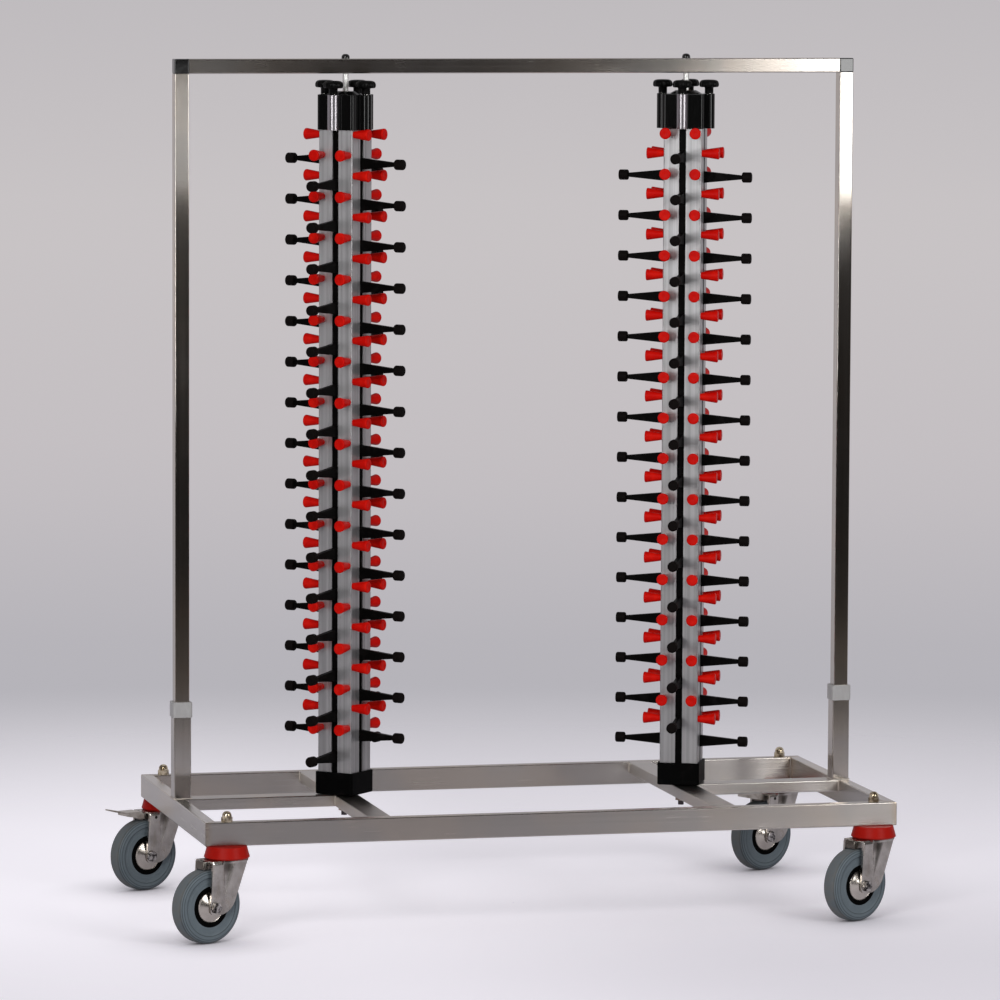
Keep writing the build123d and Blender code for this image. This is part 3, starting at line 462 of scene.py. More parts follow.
def head_black(side):
    """Glossy black, and bright where the boss stands out of the head on one face."""
    material, shader, place = new_finish(f"{side}_head_gloss", {"Specular IOR Level": 0.2})
    from_axis = place.vectors("SUBTRACT", column_spots[side])
    way_out = (cos(bright_boss[side]), sin(bright_boss[side]), 0.0)
    bright = ease(from_axis.vectors("DOT_PRODUCT", way_out, "Value"), *BOSS_FADE)
    ripple = grain(place, (70.0, 70.0, 25.0), 2.0)
    dust = ease(speckle(place, 420.0, 5.0), 0.55, 0.85)
    black = tone(dust * 0.4, (0.003, 0.003, 0.003, 1.0), (0.016, 0.015, 0.016, 1.0))
    feed(
        shader,
        {
            "Base Color": tone(bright, black, (0.34, 0.32, 0.34, 1.0)),
            "Metallic": bright,
            "Roughness": 0.08 + 0.05 * ripple + 0.06 * dust + 0.20 * bright,
            "Normal": bump(ripple, 0.04, 0.0010),
        },
    )
    return material


satin_finish, satin_shader, satin_place = new_finish("satin_black", {"Specular IOR Level": 0.03})
satin_cells = speckle(satin_place, 1300.0, 2.0)
satin_wear = ease(speckle(satin_place, 45.0, 5.0), 0.52, 0.75)
feed(
    satin_shader,
    {
        "Base Color": tone(satin_wear * 0.6, (0.001, 0.001, 0.001, 1.0), (0.006, 0.005, 0.005, 1.0)),
        "Roughness": 0.38 + 0.14 * satin_cells + 0.06 * satin_wear,
        "Normal": bump(satin_cells, 0.15, 0.0002),
    },
)
for side in ("left", "right"):
    dress((f"{side}_column_head",), head_black(side))
    dress((f"{side}_column_foot",), satin_finish)

bronze_finish, bronze_shader, bronze_place = new_finish("oiled_bronze", {"Metallic": 1.0})
bronze_pores = speckle(bronze_place, 2400.0, 3.0)
feed(
    bronze_shader,
    {
        "Base Color": tone(bronze_pores, (0.34, 0.20, 0.09, 1.0), (0.62, 0.42, 0.22, 1.0)),
        "Roughness": 0.30 + 0.25 * bronze_pores,
    },
)
dress(("left_column_bushes", "right_column_bushes"), bronze_finish)

# Pegs
# Red rubber cones in pairs down every face, moulded and pushed into the profile. Each has a narrow
# root and a flat end with a rounded rim, and in its middle a shallow dimple from the mould's gate.
PEG_LEVELS = 15
PEG_PITCH = 0.070
PEG_TOPS = (1.332, 1.297)
PEG_SIDEWAYS = 0.026
COLUMN_HALF = 0.033
PEG_STEPS = 30
PEG_SECTION = (
    (0.0000, 0.00580),
    (0.0012, 0.00590),
    (0.0100, 0.00727),
    (0.0200, 0.00873),
    (0.0262, 0.00965),
    (0.0277, 0.00985),
    (0.0287, 0.00982),
    (0.0295, 0.00938),
    (0.0299, 0.00855),
    (0.0300, 0.00750),
    (0.0300, 0.00300),
    (0.0298, 0.00220),
    (0.0297, 0.00100),
    (0.0297, 0.00005),
)
column_yaws = {"left": 47.0, "right": -24.0}


def turned(draft, section, steps, stance):
    """A turned form: the section gives places along the axis and radii, the stance puts it in place."""
    rows = []
    for along, radius in section:
        ring = []
        for step in range(steps):
            angle = 2 * pi * step / steps
            ring.append(stance @ Vector((radius * cos(angle), radius * sin(angle), along)))
        rows.append(ring)
    draft.strip(rows, closed_round=True)


peg_finish, peg_shader, peg_place = new_finish("red_rubber", {"Specular IOR Level": 0.06})
peg_bloom = ease(speckle(peg_place, 55.0, 4.0), 0.40, 0.75)
peg_cells = speckle(peg_place, 1500.0, 2.0)
feed(
    peg_shader,
    {
        "Base Color": tone(peg_bloom, (0.50, 0.003, 0.001, 1.0), (0.61, 0.007, 0.002, 1.0)),
        "Roughness": 0.34 + 0.10 * peg_cells + 0.10 * peg_bloom,
        "Normal": bump(peg_cells, 0.12, 0.0002),
    },
)
for side, yaw in column_yaws.items():
    peg_draft = MeshDraft()
    for face in range(4):
        spin = Matrix.Rotation(radians(yaw + 90.0 * face), 4, "Z")
        for level in range(PEG_LEVELS):
            height = PEG_TOPS[face % 2] - PEG_PITCH * level
            for sideways in (-PEG_SIDEWAYS, PEG_SIDEWAYS):
                stance = (
                    Matrix.Translation(column_spots[side])
                    @ spin
                    @ Matrix.Translation((sideways, -COLUMN_HALF, height))
                    @ Matrix.Rotation(pi / 2, 4, "X")
                )
                turned(peg_draft, PEG_SECTION, PEG_STEPS, stance)
    pegs = peg_draft.piece(f"{side}_peg_cones", peg_finish)
    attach(pegs, f"{side}_column")
    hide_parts(f"{side}_pegs")

# Arm rails
# Behind each slot slides a black plastic rail with the arms moulded on it. A rubber tip is pushed on
# the end of every arm, so the plates don't slip.
TIP_START = 0.09902
for side, spot in column_spots.items():
    arm_finish, arm_shader, arm_place = new_finish(f"{side}_arm_black", {"Specular IOR Level": 0.03})
    from_axis = arm_place.vectors("SUBTRACT", spot)
    rubber = from_axis.vectors("MULTIPLY", (1, 1, 0)).length() > TIP_START
    arm_cells = speckle(arm_place, 1400.0, 2.0)
    arm_rub = ease(speckle(arm_place, 60.0, 5.0), 0.50, 0.78)
    plain = tone(arm_rub, (0.0018, 0.0015, 0.0014, 1.0), (0.0055, 0.0048, 0.0046, 1.0))
    feed(
        arm_shader,
        {
            "Base Color": tone(rubber, plain, (0.0050, 0.0037, 0.0034, 1.0)),
            "Roughness": 0.36 + 0.12 * arm_cells + 0.05 * arm_rub + 0.14 * rubber,
            "Normal": bump(arm_cells, 0.15, 0.0002),
        },
    )
    dress([f"{side}_arm_rail_{number}" for number in range(1, 5)], arm_finish)

# Knobs
# Four black hand knobs stand on each head, one over every face: a domed cap with a scalloped grip on
# a stem. Turning one drives a rolled steel lead screw that raises or lowers that face's arms.
KNOB_SECTION = (
    (1.3997, 0.0052),
    (1.3997, 0.0072),
    (1.4000, 0.0075),
    (1.4092, 0.0075),
    (1.4102, 0.0083),
    (1.4106, 0.0100),
    (1.4106, 0.0145),
    (1.4112, 0.0160),
    (1.4126, 0.0170),
    (1.4148, 0.0174),
    (1.4172, 0.0172),
    (1.4193, 0.0165),
    (1.4211, 0.0151),
    (1.4224, 0.0129),
    (1.4231, 0.0100),
    (1.4234, 0.0060),
    (1.4235, 0.00005),
)
KNOB_RADIUS = 0.0174
KNOB_STEPS = 96
KNOB_LOBES = 12
KNOB_SCALLOP = 0.0010
KNOB_GRIP_FADE = 8
SCREW_END = 1.3435
SCREW_PITCH = 0.002
SCREW_TURNS = 23
SCREW_ROOT = 0.0044
SCREW_CREST = 0.0050
SCREW_STEPS = 24
RETAINER_SECTION = (
    (1.3909, 0.0050),
    (1.3909, 0.0070),
    (1.3929, 0.0070),
    (1.3929, 0.0050),
    (1.4000, 0.0050),
)


def joint_entry(name):
    return next(joint for joint in frame["joints"] if joint["name"] == name)


def joint_place(name):
    return Vector(joint_entry(name)["pos_m"])


def lay_knob(draft, axis):
    """A domed cap on its stem, with scallops round the grip."""
    rows = []
    for height, radius in KNOB_SECTION:
        grip = KNOB_SCALLOP * (radius / KNOB_RADIUS) ** KNOB_GRIP_FADE
        ring = []
        for step in range(KNOB_STEPS):
            angle = 2 * pi * step / KNOB_STEPS
            reach = radius - grip * (0.5 - 0.5 * cos(KNOB_LOBES * angle))
            ring.append(axis + Vector((reach * cos(angle), reach * sin(angle), height)))
        rows.append(ring)
    draft.strip(rows, closed_round=True)


screw_section = [(SCREW_END, 0.00005)]
for thread in range(SCREW_TURNS):
    low = SCREW_END + SCREW_PITCH * thread
    screw_section.extend([(low, SCREW_ROOT), (low + SCREW_PITCH / 2, SCREW_CREST)])
screw_section.extend(RETAINER_SECTION)
knob_finish, knob_shader, knob_place = new_finish("knob_black", {"Specular IOR Level": 0.07})
knob_cells = speckle(knob_place, 900.0, 3.0)
knob_rub = ease(speckle(knob_place, 120.0, 4.0), 0.45, 0.75)
feed(
    knob_shader,
    {
        "Base Color": tone(knob_rub, (0.002, 0.002, 0.002, 1.0), (0.008, 0.007, 0.007, 1.0)),
        "Roughness": 0.26 + 0.10 * knob_cells + 0.08 * knob_rub,
        "Normal": bump(knob_cells, 0.12, 0.0002),
    },
)

polish_finish, polish_shader, polish_place = new_finish("polished_steel", {"Metallic": 1.0})
polish_lines = grain(polish_place, (60.0, 60.0, 1800.0), 2.0)
polish_smudge = speckle(polish_place, 95.0, 3.0)
feed(
    polish_shader,
    {
        "Base Color": tone(polish_smudge, (0.80, 0.77, 0.72, 1.0), (0.93, 0.91, 0.87, 1.0)),
        "Roughness": 0.12 + 0.08 * polish_lines + 0.08 * polish_smudge,
        "Normal": bump(polish_lines, 0.06, 0.0001),
    },
)
for side in column_spots:
    for number in range(1, 5):
        node = f"{side}_knob_{number}"
        knob_axis = joint_place(f"{node}_turn")
        knob_axis.z = 0.0
        cap_draft = MeshDraft()
        lay_knob(cap_draft, knob_axis)
        cap = cap_draft.piece(f"{node}_cap", knob_finish)
        screw_draft = MeshDraft()
        turned(screw_draft, screw_section, SCREW_STEPS, Matrix.Translation(knob_axis))
        screw = screw_draft.piece(f"{node}_screw", polish_finish)
        for made in (cap, screw):
            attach(made, node)
            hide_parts(node)

# Swivel rings and caster fasteners
# A red plastic ring covers the swivel race under each corner. The king bolt comes up through the beam
# and ends in a polished dome nut.
ring_finish, ring_shader, ring_place = new_finish("red_plastic", {"Specular IOR Level": 0.08})
ring_cloud = speckle(ring_place, 80.0, 4.0)
ring_dirt = ease(speckle(ring_place, 260.0, 5.0), 0.55, 0.80)
ring_red = tone(ring_cloud, (0.29, 0.004, 0.002, 1.0), (0.37, 0.008, 0.003, 1.0))
feed(
    ring_shader,
    {
        "Base Color": tone(ring_dirt * 0.4, ring_red, (0.16, 0.02, 0.015, 1.0)),
        "Roughness": 0.34 + 0.12 * ring_cloud + 0.10 * ring_dirt,
        "Normal": bump(ring_cloud, 0.1, 0.0004),
    },
)
dress(("swivel_rings",), ring_finish)

gilt_finish, gilt_shader, gilt_place = new_finish("passivated_steel", {"Metallic": 1.0})
gilt_cloud = speckle(gilt_place, 130.0, 3.0)
gilt_clean = ease(gilt_cloud, 0.36, 0.60)
feed(
    gilt_shader,
    {
        "Base Color": tone(gilt_clean, (0.20, 0.15, 0.09, 1.0), (0.78, 0.68, 0.50, 1.0)),
        "Roughness": 0.12 + 0.10 * gilt_cloud,
    },
)
dress(("caster_fasteners",), gilt_finish)

# Caster forks and axles
# Each fork is pressed from stainless sheet: a flat crown with a swivel cup, a short boxed tail and two
# legs. A flute that narrows downwards parts each leg's flat strip from the face that leans inwards.
LEG_TOP = 0.139
LEG_BOTTOM = 0.050
LEG_INSIDE = 0.021
LEG_FACE = 0.0243
LEG_TRAIL = 0.052
LEG_TAPER = 0.006
LEG_LEAD = 0.008
LEG_SLOPE = 0.407
LEG_ROUNDS = (0.008, 0.020)
LEG_BLEND = 0.1345
LEG_ROWS = 64
LEG_COLUMNS = 48
CREASE_PLACE = 0.0255
CREASE_SHIFT = 0.002
STRIP_RAISE = 0.0016
STRIP_FADE = (-0.0040, 0.0030)
EDGE_ROLL = 0.0007
EDGE_WIDTH = 0.0020
FACE_LEAN = 0.0024
FLUTE_START = 0.131
FLUTE_END = 0.068
FLUTE_DEPTH = 0.0023
FLUTE_SHIFT = 0.0105
FLUTE_HALF = 0.0150
CROWN_LOW = 0.136
CROWN_LEAD = -0.027
CROWN_REAR = 0.046
CROWN_HALF = 0.024
CROWN_ROUND = 0.001
CUP_SECTION = ((0.1390, 0.0239), (0.1468, 0.0239), (0.1470, 0.0050))
CUP_STEPS = 48
TAIL_LOW = 0.1255
TAIL_END = 0.0564
TAIL_HALF = 0.0119
TAIL_ROUND = 0.0025
TAIL_LAP = 0.002
# Painted shade darkens the tail's end over its last few millimetres.
TAIL_SHADE_FADE = (0.006, 0.002)
BLOCK_ROWS = ((0.6, 1.0), (0.3, 0.87), (0.1, 0.6), (0.0, 0.2), (0.0, -1.0))
BLOCK_STEPS = 4
PEDAL_PIVOT = (0.033, 0.0, 0.130)
# Size of the dark eye of painted shade round the pedal's pivot.
PIVOT_SHADE_FADE = (0.0031, 0.0026)
# Painted shade: a dark patch on each leg's outer face where the flute's dimple is pressed in.
DIMPLE_SHADE_PLACE = (0.0150, 0.1290)
DIMPLE_SHADE_ACROSS = (0.0120, 0.003)
DIMPLE_SHADE_UP = (0.0190, 0.002)
PAINTED_SHADE_TONE = (0.075, 0.060, 0.048, 1.0)
corners = ("front_left", "front_right", "rear_left", "rear_right")


def soft(value, start, end):
    """The same soft step as in the shaders, for shapes."""
    share = max(0.0, min(1.0, (value - start) / (end - start)))
    return share * share * (3.0 - 2.0 * share)


def leg_rise(height):
    """How far up its leg a height is, from 0 to 1."""
    return (height - LEG_BOTTOM) / (LEG_TOP - LEG_BOTTOM)


def leg_edges(height):
    """Where a leg's trailing and leading edges are at a height, with the lower corners rounded."""
    up = height - LEG_BOTTOM
    rounds = []
    for radius in LEG_ROUNDS:
        short = radius - min(up, radius)
        rounds.append(radius - (radius * radius - short * short) ** 0.5)
    trail = LEG_TRAIL - LEG_TAPER * leg_rise(height) - rounds[0]
    lead = max(CROWN_LEAD, LEG_LEAD - LEG_SLOPE * up) + rounds[1]
    return trail, lead


def leg_reach(along, height, trail):
    """How far a leg's outer face stands from the middle of the fork."""
    crease = CREASE_PLACE - CREASE_SHIFT * leg_rise(height)
    lean = max(0.0, (crease - along) / (crease - CROWN_LEAD))
    strip = soft(along, crease + STRIP_FADE[0], crease + STRIP_FADE[1])
    reach = LEG_FACE + STRIP_RAISE * strip - FACE_LEAN * lean
    reach -= EDGE_ROLL * (1.0 - soft(trail - along, 0.0, EDGE_WIDTH))
    opening = (height - FLUTE_END) / (FLUTE_START - FLUTE_END)
    if opening > 0.0:
        off = min(1.0, abs(along - crease + FLUTE_SHIFT * opening) / (FLUTE_HALF * opening))
        reach -= FLUTE_DEPTH * opening * (0.5 + 0.5 * cos(pi * off))
    return CROWN_HALF + (reach - CROWN_HALF) * soft(height, LEG_TOP, LEG_BLEND)


def lay_leg(draft, side):
    rows = []
    for line in range(LEG_ROWS + 1):
        height = LEG_TOP - (LEG_TOP - LEG_BOTTOM) * sin(pi / 2 * line / LEG_ROWS)
        trail, lead = leg_edges(height)
        places = [trail + (lead - trail) * step / LEG_COLUMNS for step in range(LEG_COLUMNS + 1)]
        outside = [Vector((place, side * leg_reach(place, height, trail), height)) for place in places]
        inside = [Vector((place, side * LEG_INSIDE, height)) for place in reversed(places)]
        rows.append(outside + inside)
    sole = [Vector((point.x, side * (LEG_INSIDE + LEG_FACE) / 2, LEG_BOTTOM)) for point in rows[-1]]
    draft.strip([*rows, sole], closed_round=True)


def lay_block(draft, low, high, rounding):
    """An upright block with rounded corners and a rounded top edge, open underneath."""
    centres = [
        (high.x - rounding, high.y - rounding, 0),
        (low.x + rounding, high.y - rounding, 1),
        (low.x + rounding, low.y + rounding, 2),
        (high.x - rounding, low.y + rounding, 3),
    ]
    levels = [(low.z, rounding)]
    for drop, share in BLOCK_ROWS:
        levels.append((high.z - drop * rounding, share * rounding))
    rows = []
    for height, radius in levels:
        row = []
        for x, y, turn in centres:
            for step in range(BLOCK_STEPS + 1):
                angle = (turn + step / BLOCK_STEPS) * pi / 2
                row.append(Vector((x + radius * cos(angle), y + radius * sin(angle), height)))
        rows.append(row)
    middle = (low + high) / 2
    rows.append([Vector((middle.x, middle.y, high.z))] * len(rows[0]))
    draft.strip(rows, closed_round=True)


fork_draft = MeshDraft()
for side in (-1, 1):
    lay_leg(fork_draft, side)
lay_block(
    fork_draft,
    Vector((CROWN_LEAD, -CROWN_HALF, CROWN_LOW)),
    Vector((CROWN_REAR, CROWN_HALF, LEG_TOP)),
    CROWN_ROUND,
)
turned(fork_draft, CUP_SECTION, CUP_STEPS, Matrix.Identity(4))
lay_block(
    fork_draft,
    Vector((CROWN_REAR - TAIL_LAP, -TAIL_HALF, TAIL_LOW)),
    Vector((TAIL_END, TAIL_HALF, LEG_TOP)),
    TAIL_ROUND,
)


def fork_steel(name, braked):
    """Pressed stainless with painted shade in the leg dimples, at the tail's end, and as a dark eye round
    a braked fork's pedal pivot.
    """
    material, shader, place = new_finish(name, {"Metallic": 1.0})
    cloud = speckle(place, 48.0, 4.0)
    stain = ease(grain(place, (90.0, 90.0, 40.0), 4.0), 0.50, 0.72)
    colour = tone(ease(cloud, 0.25, 0.75), (0.36, 0.335, 0.31, 1.0), (0.62, 0.585, 0.55, 1.0))
    colour = tone(stain * 0.35, colour, (0.36, 0.30, 0.24, 1.0))
    along = part_of(place, "X")
    height = part_of(place, "Z")
    # Painted shade darkens each leg where the flute's dimple is pressed in at its top.
    dimple_shade_across = ease(abs(along - DIMPLE_SHADE_PLACE[0]), *DIMPLE_SHADE_ACROSS)
    dimple_shade_up = ease(abs(height - DIMPLE_SHADE_PLACE[1]), *DIMPLE_SHADE_UP)
    colour = tone(dimple_shade_across * dimple_shade_up * (0.65 + 0.35 * cloud), colour, PAINTED_SHADE_TONE)
    # Painted shade: the tail's end is darkened towards the same dark tone.
    tail_painted_shade = ease(along, TAIL_END - TAIL_SHADE_FADE[0], TAIL_END - TAIL_SHADE_FADE[1])
    colour = tone(tail_painted_shade * 0.8, colour, PAINTED_SHADE_TONE)
    # Painted shade: a dark eye round the pedal's pivot in each leg stands in for the shade in its hole.
    if braked:
        from_pivot = place.vectors("SUBTRACT", PEDAL_PIVOT)
        gap = from_pivot.vectors("MULTIPLY", (1, 0, 1)).length()
        colour = tone(ease(gap, *PIVOT_SHADE_FADE), colour, (0.02, 0.017, 0.014, 1.0))
    feed(
        shader,
        {
            "Base Color": colour,
            "Roughness": 0.18 + 0.10 * cloud + 0.05 * stain,
            "Normal": bump(cloud, 0.06, 0.0010),
        },
    )
    return material


fork_finish = fork_steel("pressed_steel", False)
braked_finish = fork_steel("pressed_steel_eye", True)
for corner in corners:
    fork = fork_draft.piece(f"{corner}_fork_shell", braked_finish if "rear" in corner else fork_finish)
    king = joint_place(f"{corner}_swivel")
    trail_way = joint_place(f"{corner}_wheel_spin") - king
    trail_way.z = 0.0
    trail_way.normalize()
    axes = Matrix((trail_way, UPRIGHT.cross(trail_way), UPRIGHT)).transposed().to_4x4()
    fork.matrix_world = Matrix.Translation((king.x, king.y, 0.0)) @ axes
    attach(fork, f"{corner}_fork")
    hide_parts(f"{corner}_fork")

axle_finish, axle_shader, axle_place = new_finish("zinc_plated", {"Metallic": 1.0})
axle_cloud = speckle(axle_place, 150.0, 3.0)
axle_marks = ease(speckle(axle_place, 700.0, 3.0), 0.45, 0.70)
axle_clean = ease(axle_cloud, 0.36, 0.64)
feed(
    axle_shader,
    {
        "Base Color": tone(axle_clean, (0.05, 0.045, 0.045, 1.0), (0.60, 0.57, 0.55, 1.0)),
        "Roughness": 0.16 + 0.10 * axle_cloud + 0.10 * axle_marks,
        "Normal": bump(axle_marks, 0.15, 0.0003),
    },
)
dress([f"{corner}_axle" for corner in corners], axle_finish)

# Tyres
# Blue-grey non-marking rubber is moulded on the rim. The side has a step, the mould's fine rings are
# thin lines of painted shade, the shoulder is round, and the tread has picked up brown dust.
TYRE_STEPS = 120
TYRE_SIDE = (
    (0.01480, 0.03450),
    (0.01480, 0.03790),
    (0.01445, 0.03830),
    (0.01445, 0.03880),
    (0.01480, 0.03920),
    (0.01480, 0.04300),
    (0.01450, 0.04330),
    (0.01450, 0.04370),
    (0.01480, 0.04400),
    (0.01480, 0.04770),
    (0.01500, 0.04810),
    (0.01580, 0.04890),
    (0.01600, 0.04940),
    (0.01600, 0.05120),
    (0.01570, 0.05150),
    (0.01570, 0.05190),
    (0.01600, 0.05220),
    (0.01600, 0.05350),
)
SHOULDER_CENTRE = 0.007266
SHOULDER_HEIGHT = 0.05350
SHOULDER_ROUND = 0.008734
SHOULDER_SPAN = 95.0
SHOULDER_STEPS = 10
TYRE_RADIUS = 0.0625
TREAD_EDGE = (0.003, 0.06244)
TREAD_DUST_FADE = (0.0590, 0.0620)
# Radii of the thin rings of painted shade that stand in for the mould's grooves.
TYRE_GROOVE_SHADES = (0.0492, 0.0553, 0.0588, 0.0611)
GROOVE_SHADE_FADE = (0.0009, 0.0003)


def wheel_stance(corner):
    """The wheel's own frame: its centre, with Y upright and Z along the axle."""
    spin = joint_entry(f"{corner}_wheel_spin")
    axle = Vector(spin["axis"])
    axes = Matrix((UPRIGHT.cross(axle), UPRIGHT, axle)).transposed().to_4x4()
    return Matrix.Translation(spin["pos_m"]) @ axes


def wheel_piece(draft, name, corner, material, node):
    made = draft.piece(f"{corner}_{name}", material)
    made.matrix_world = wheel_stance(corner)
    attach(made, f"{corner}_wheel")
    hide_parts(f"{corner}_{node}")


shoulder = []
for step in range(1, SHOULDER_STEPS + 1):
    angle = radians(SHOULDER_SPAN * step / SHOULDER_STEPS)
    across = SHOULDER_CENTRE + SHOULDER_ROUND * cos(angle)
    shoulder.append((across, SHOULDER_HEIGHT + SHOULDER_ROUND * sin(angle)))
tyre_half = [*TYRE_SIDE, *shoulder, TREAD_EDGE]
tyre_section = [
    *tyre_half,
    (0.0, TYRE_RADIUS),
    *[(-across, radius) for across, radius in reversed(tyre_half)],
    tyre_half[0],
]
tyre_draft = MeshDraft()
turned(tyre_draft, tyre_section, TYRE_STEPS, Matrix.Identity(4))

tyre_finish, tyre_shader, tyre_place = new_finish("grey_rubber", {"Specular IOR Level": 0.25})
tyre_reach = tyre_place.vectors("MULTIPLY", (1, 1, 0)).length()
tyre_cloud = speckle(tyre_place, 60.0, 4.0)
tyre_cells = speckle(tyre_place, 1200.0, 3.0)
tread_dust = ease(tyre_reach, *TREAD_DUST_FADE) * (0.20 + 0.5 * ease(tyre_cloud, 0.35, 0.65))
tyre_grey = tone(tyre_cloud, (0.088, 0.111, 0.125, 1.0), (0.128, 0.156, 0.173, 1.0))
# Painted shade: thin dark rings on the side and shoulder stand in for the mould's fine grooves.
for groove_reach in TYRE_GROOVE_SHADES:
    groove_painted_shade = ease(abs(tyre_reach - groove_reach), *GROOVE_SHADE_FADE)
    tyre_grey = tone(groove_painted_shade * 0.75, tyre_grey, (0.030, 0.036, 0.040, 1.0))
feed(
    tyre_shader,
    {
        "Base Color": tone(tread_dust, tyre_grey, (0.125, 0.122, 0.115, 1.0)),
        "Roughness": 0.48 + 0.12 * tyre_cells + 0.15 * tread_dust,
        "Normal": bump(tyre_cells, 0.2, 0.0003),
    },
)
for corner in corners:
    wheel_piece(tyre_draft, "tyre_rubber", corner, tyre_finish, "tyre")

# Wheel rims and discs
# The tyre sits on a black plastic rim with a hub tube for the axle. A coned steel disc snaps into
# each side of the rim and hides the web.
RIM_STEPS = 96
RIM_SIDE = (
    (0.0204, 0.00510),
    (0.0204, 0.00780),
    (0.0150, 0.00800),
    (0.0120, 0.00900),
    (0.0120, 0.02590),
    (0.0140, 0.02605),
    (0.0145, 0.02650),
    (0.0145, 0.02900),
    (0.0138, 0.02950),
    (0.0138, 0.03080),
    (0.0145, 0.03130),
    (0.0145, 0.03410),
    (0.0142, 0.03445),
)
DISC_SECTION = (
    (0.01300, 0.02595),
    (0.01440, 0.02595),
    (0.01480, 0.02570),
    (0.01480, 0.02530),
    (0.01430, 0.02470),
    (0.01440, 0.02400),
    (0.01500, 0.02220),
    (0.01590, 0.02000),
    (0.01670, 0.01770),
    (0.01740, 0.01560),
    (0.01830, 0.01330),
    (0.01930, 0.01080),
    (0.01990, 0.00920),
    (0.02010, 0.00830),
    (0.02005, 0.00790),
    (0.01600, 0.00785),
)
rim_section = [*RIM_SIDE, *[(-across, radius) for across, radius in reversed(RIM_SIDE)], RIM_SIDE[0]]
rim_draft = MeshDraft()
turned(rim_draft, rim_section, RIM_STEPS, Matrix.Identity(4))
disc_draft = MeshDraft()
for face in (1, -1):
    disc_section = [(face * across, radius) for across, radius in DISC_SECTION]
    turned(disc_draft, disc_section, RIM_STEPS, Matrix.Identity(4))

disc_finish, disc_shader, disc_place = new_finish("pressed_disc", {"Metallic": 1.0})
disc_reach = disc_place.vectors("MULTIPLY", (1, 1, 0)).length()
disc_turning = disc_reach.node(
    "ShaderNodeTexNoise", {"noise_dimensions": "1D"}, {"W": disc_reach, "Scale": 2600.0}
)
disc_cloud = speckle(disc_place, 110.0, 3.0)
feed(
    disc_shader,
    {
        "Base Color": tone(disc_cloud, (0.50, 0.455, 0.41, 1.0), (0.68, 0.63, 0.575, 1.0)),
        "Roughness": 0.17 + 0.05 * disc_turning + 0.05 * disc_cloud,
        "Normal": bump(disc_turning, 0.05, 0.00005),
    },
)
for corner in corners:
    wheel_piece(rim_draft, "rim", corner, satin_finish, "wheel_hub")
    wheel_piece(disc_draft, "rim_discs", corner, disc_finish, "wheel_hub")

# Brake pedals
# The two rear casters have a pressed steel pedal round the fork's tail. Stepping on its tread tips it
# and presses a shoe on the tyre.
pedal_finish, pedal_shader, pedal_place = new_finish("pedal_steel", {"Metallic": 1.0})
pedal_cloud = speckle(pedal_place, 60.0, 4.0)
pedal_rub = ease(speckle(pedal_place, 220.0, 4.0), 0.50, 0.75)
pedal_clean = ease(pedal_cloud, 0.3, 0.6)
feed(
    pedal_shader,
    {
        "Base Color": tone(pedal_clean, (0.34, 0.30, 0.255, 1.0), (0.60, 0.56, 0.50, 1.0)),
        "Roughness": 0.26 + 0.10 * pedal_cloud + 0.08 * pedal_rub,
        "Normal": bump(pedal_cloud, 0.08, 0.0008),
    },
)
dress(("rear_left_brake_pedal", "rear_right_brake_pedal"), pedal_finish)

# Studio floor and curtain
# A pale floor that fades out round the object, and the dark curtain of the room behind the camera,
# which only the bright metal shows. To the camera the floor also glows with painted light, brighter
# towards the left and the back, and painted contact shade from occlusion darkens that glow near the
# object.
FLOOR_RADIUS = 5.0
FLOOR_HOLE = 0.00208
FLOOR_RINGS = 24
FLOOR_STEPS = 72
FLOOR_DROP = 0.0002
# Colour of the floor's painted glow, which the camera sees on top of its lit colour.
FLOOR_PAINTED_GLOW = (0.50, 0.485, 0.515, 1.0)
FLOOR_LEFT_FADE = (0.35, -0.45)
FLOOR_BACK_FADE = (-0.9, 0.4)
FLOOR_FADE = (0.8, 3.2)
FLOOR_MIRROR_FADE = (1.5, 3.4)
FLOOR_SHADE_REACH = 0.14
floor_section = []
for ring in range(FLOOR_RINGS + 1):
    floor_section.append((0.0, max(FLOOR_HOLE, FLOOR_RADIUS * ring / FLOOR_RINGS)))
floor_draft = MeshDraft()
turned(floor_draft, floor_section, FLOOR_STEPS, Matrix.Identity(4))


def rays(wire, way):
    """1 for one kind of ray, such as what a mirror shows, and 0 for the rest."""
    return wire.node("ShaderNodeLightPath", {}, {}, f"Is {way} Ray")


floor_finish, floor_shader, floor_place = new_finish(
    "pale_floor", {"Specular IOR Level": 0.2, "Emission Strength": 1.0}
)
floor_cloud = speckle(floor_place, 1.5, 2.0)
floor_fine = speckle(floor_place, 260.0, 3.0)
floor_tone = floor_cloud * 0.7 + floor_fine * 0.3
straight = rays(floor_place, "Camera") + rays(floor_place, "Transmission")
# Painted light: the glow grows towards the left and the back, and painted contact shade from occlusion
# darkens it near the object.
floor_left = ease(part_of(floor_place, "X"), *FLOOR_LEFT_FADE)
floor_back = ease(part_of(floor_place, "Y"), *FLOOR_BACK_FADE)
floor_open = floor_place.node("ShaderNodeAmbientOcclusion", {}, {"Distance": FLOOR_SHADE_REACH}, "AO")
floor_painted_glow_share = (0.32 + 0.26 * floor_left + 0.42 * floor_back) * floor_open * floor_open
feed(
    floor_shader,
    {
        "Base Color": tone(floor_tone, (0.70, 0.675, 0.72, 1.0), (0.76, 0.735, 0.78, 1.0)),
        "Roughness": 0.55 + 0.15 * floor_fine,
        "Emission Color": tone(straight * floor_painted_glow_share, (0.0, 0.0, 0.0, 1.0), FLOOR_PAINTED_GLOW),
    },
)
floor_reach = floor_place.length()
mirrored_fade = rays(floor_place, "Glossy") * ease(floor_reach, *FLOOR_MIRROR_FADE)
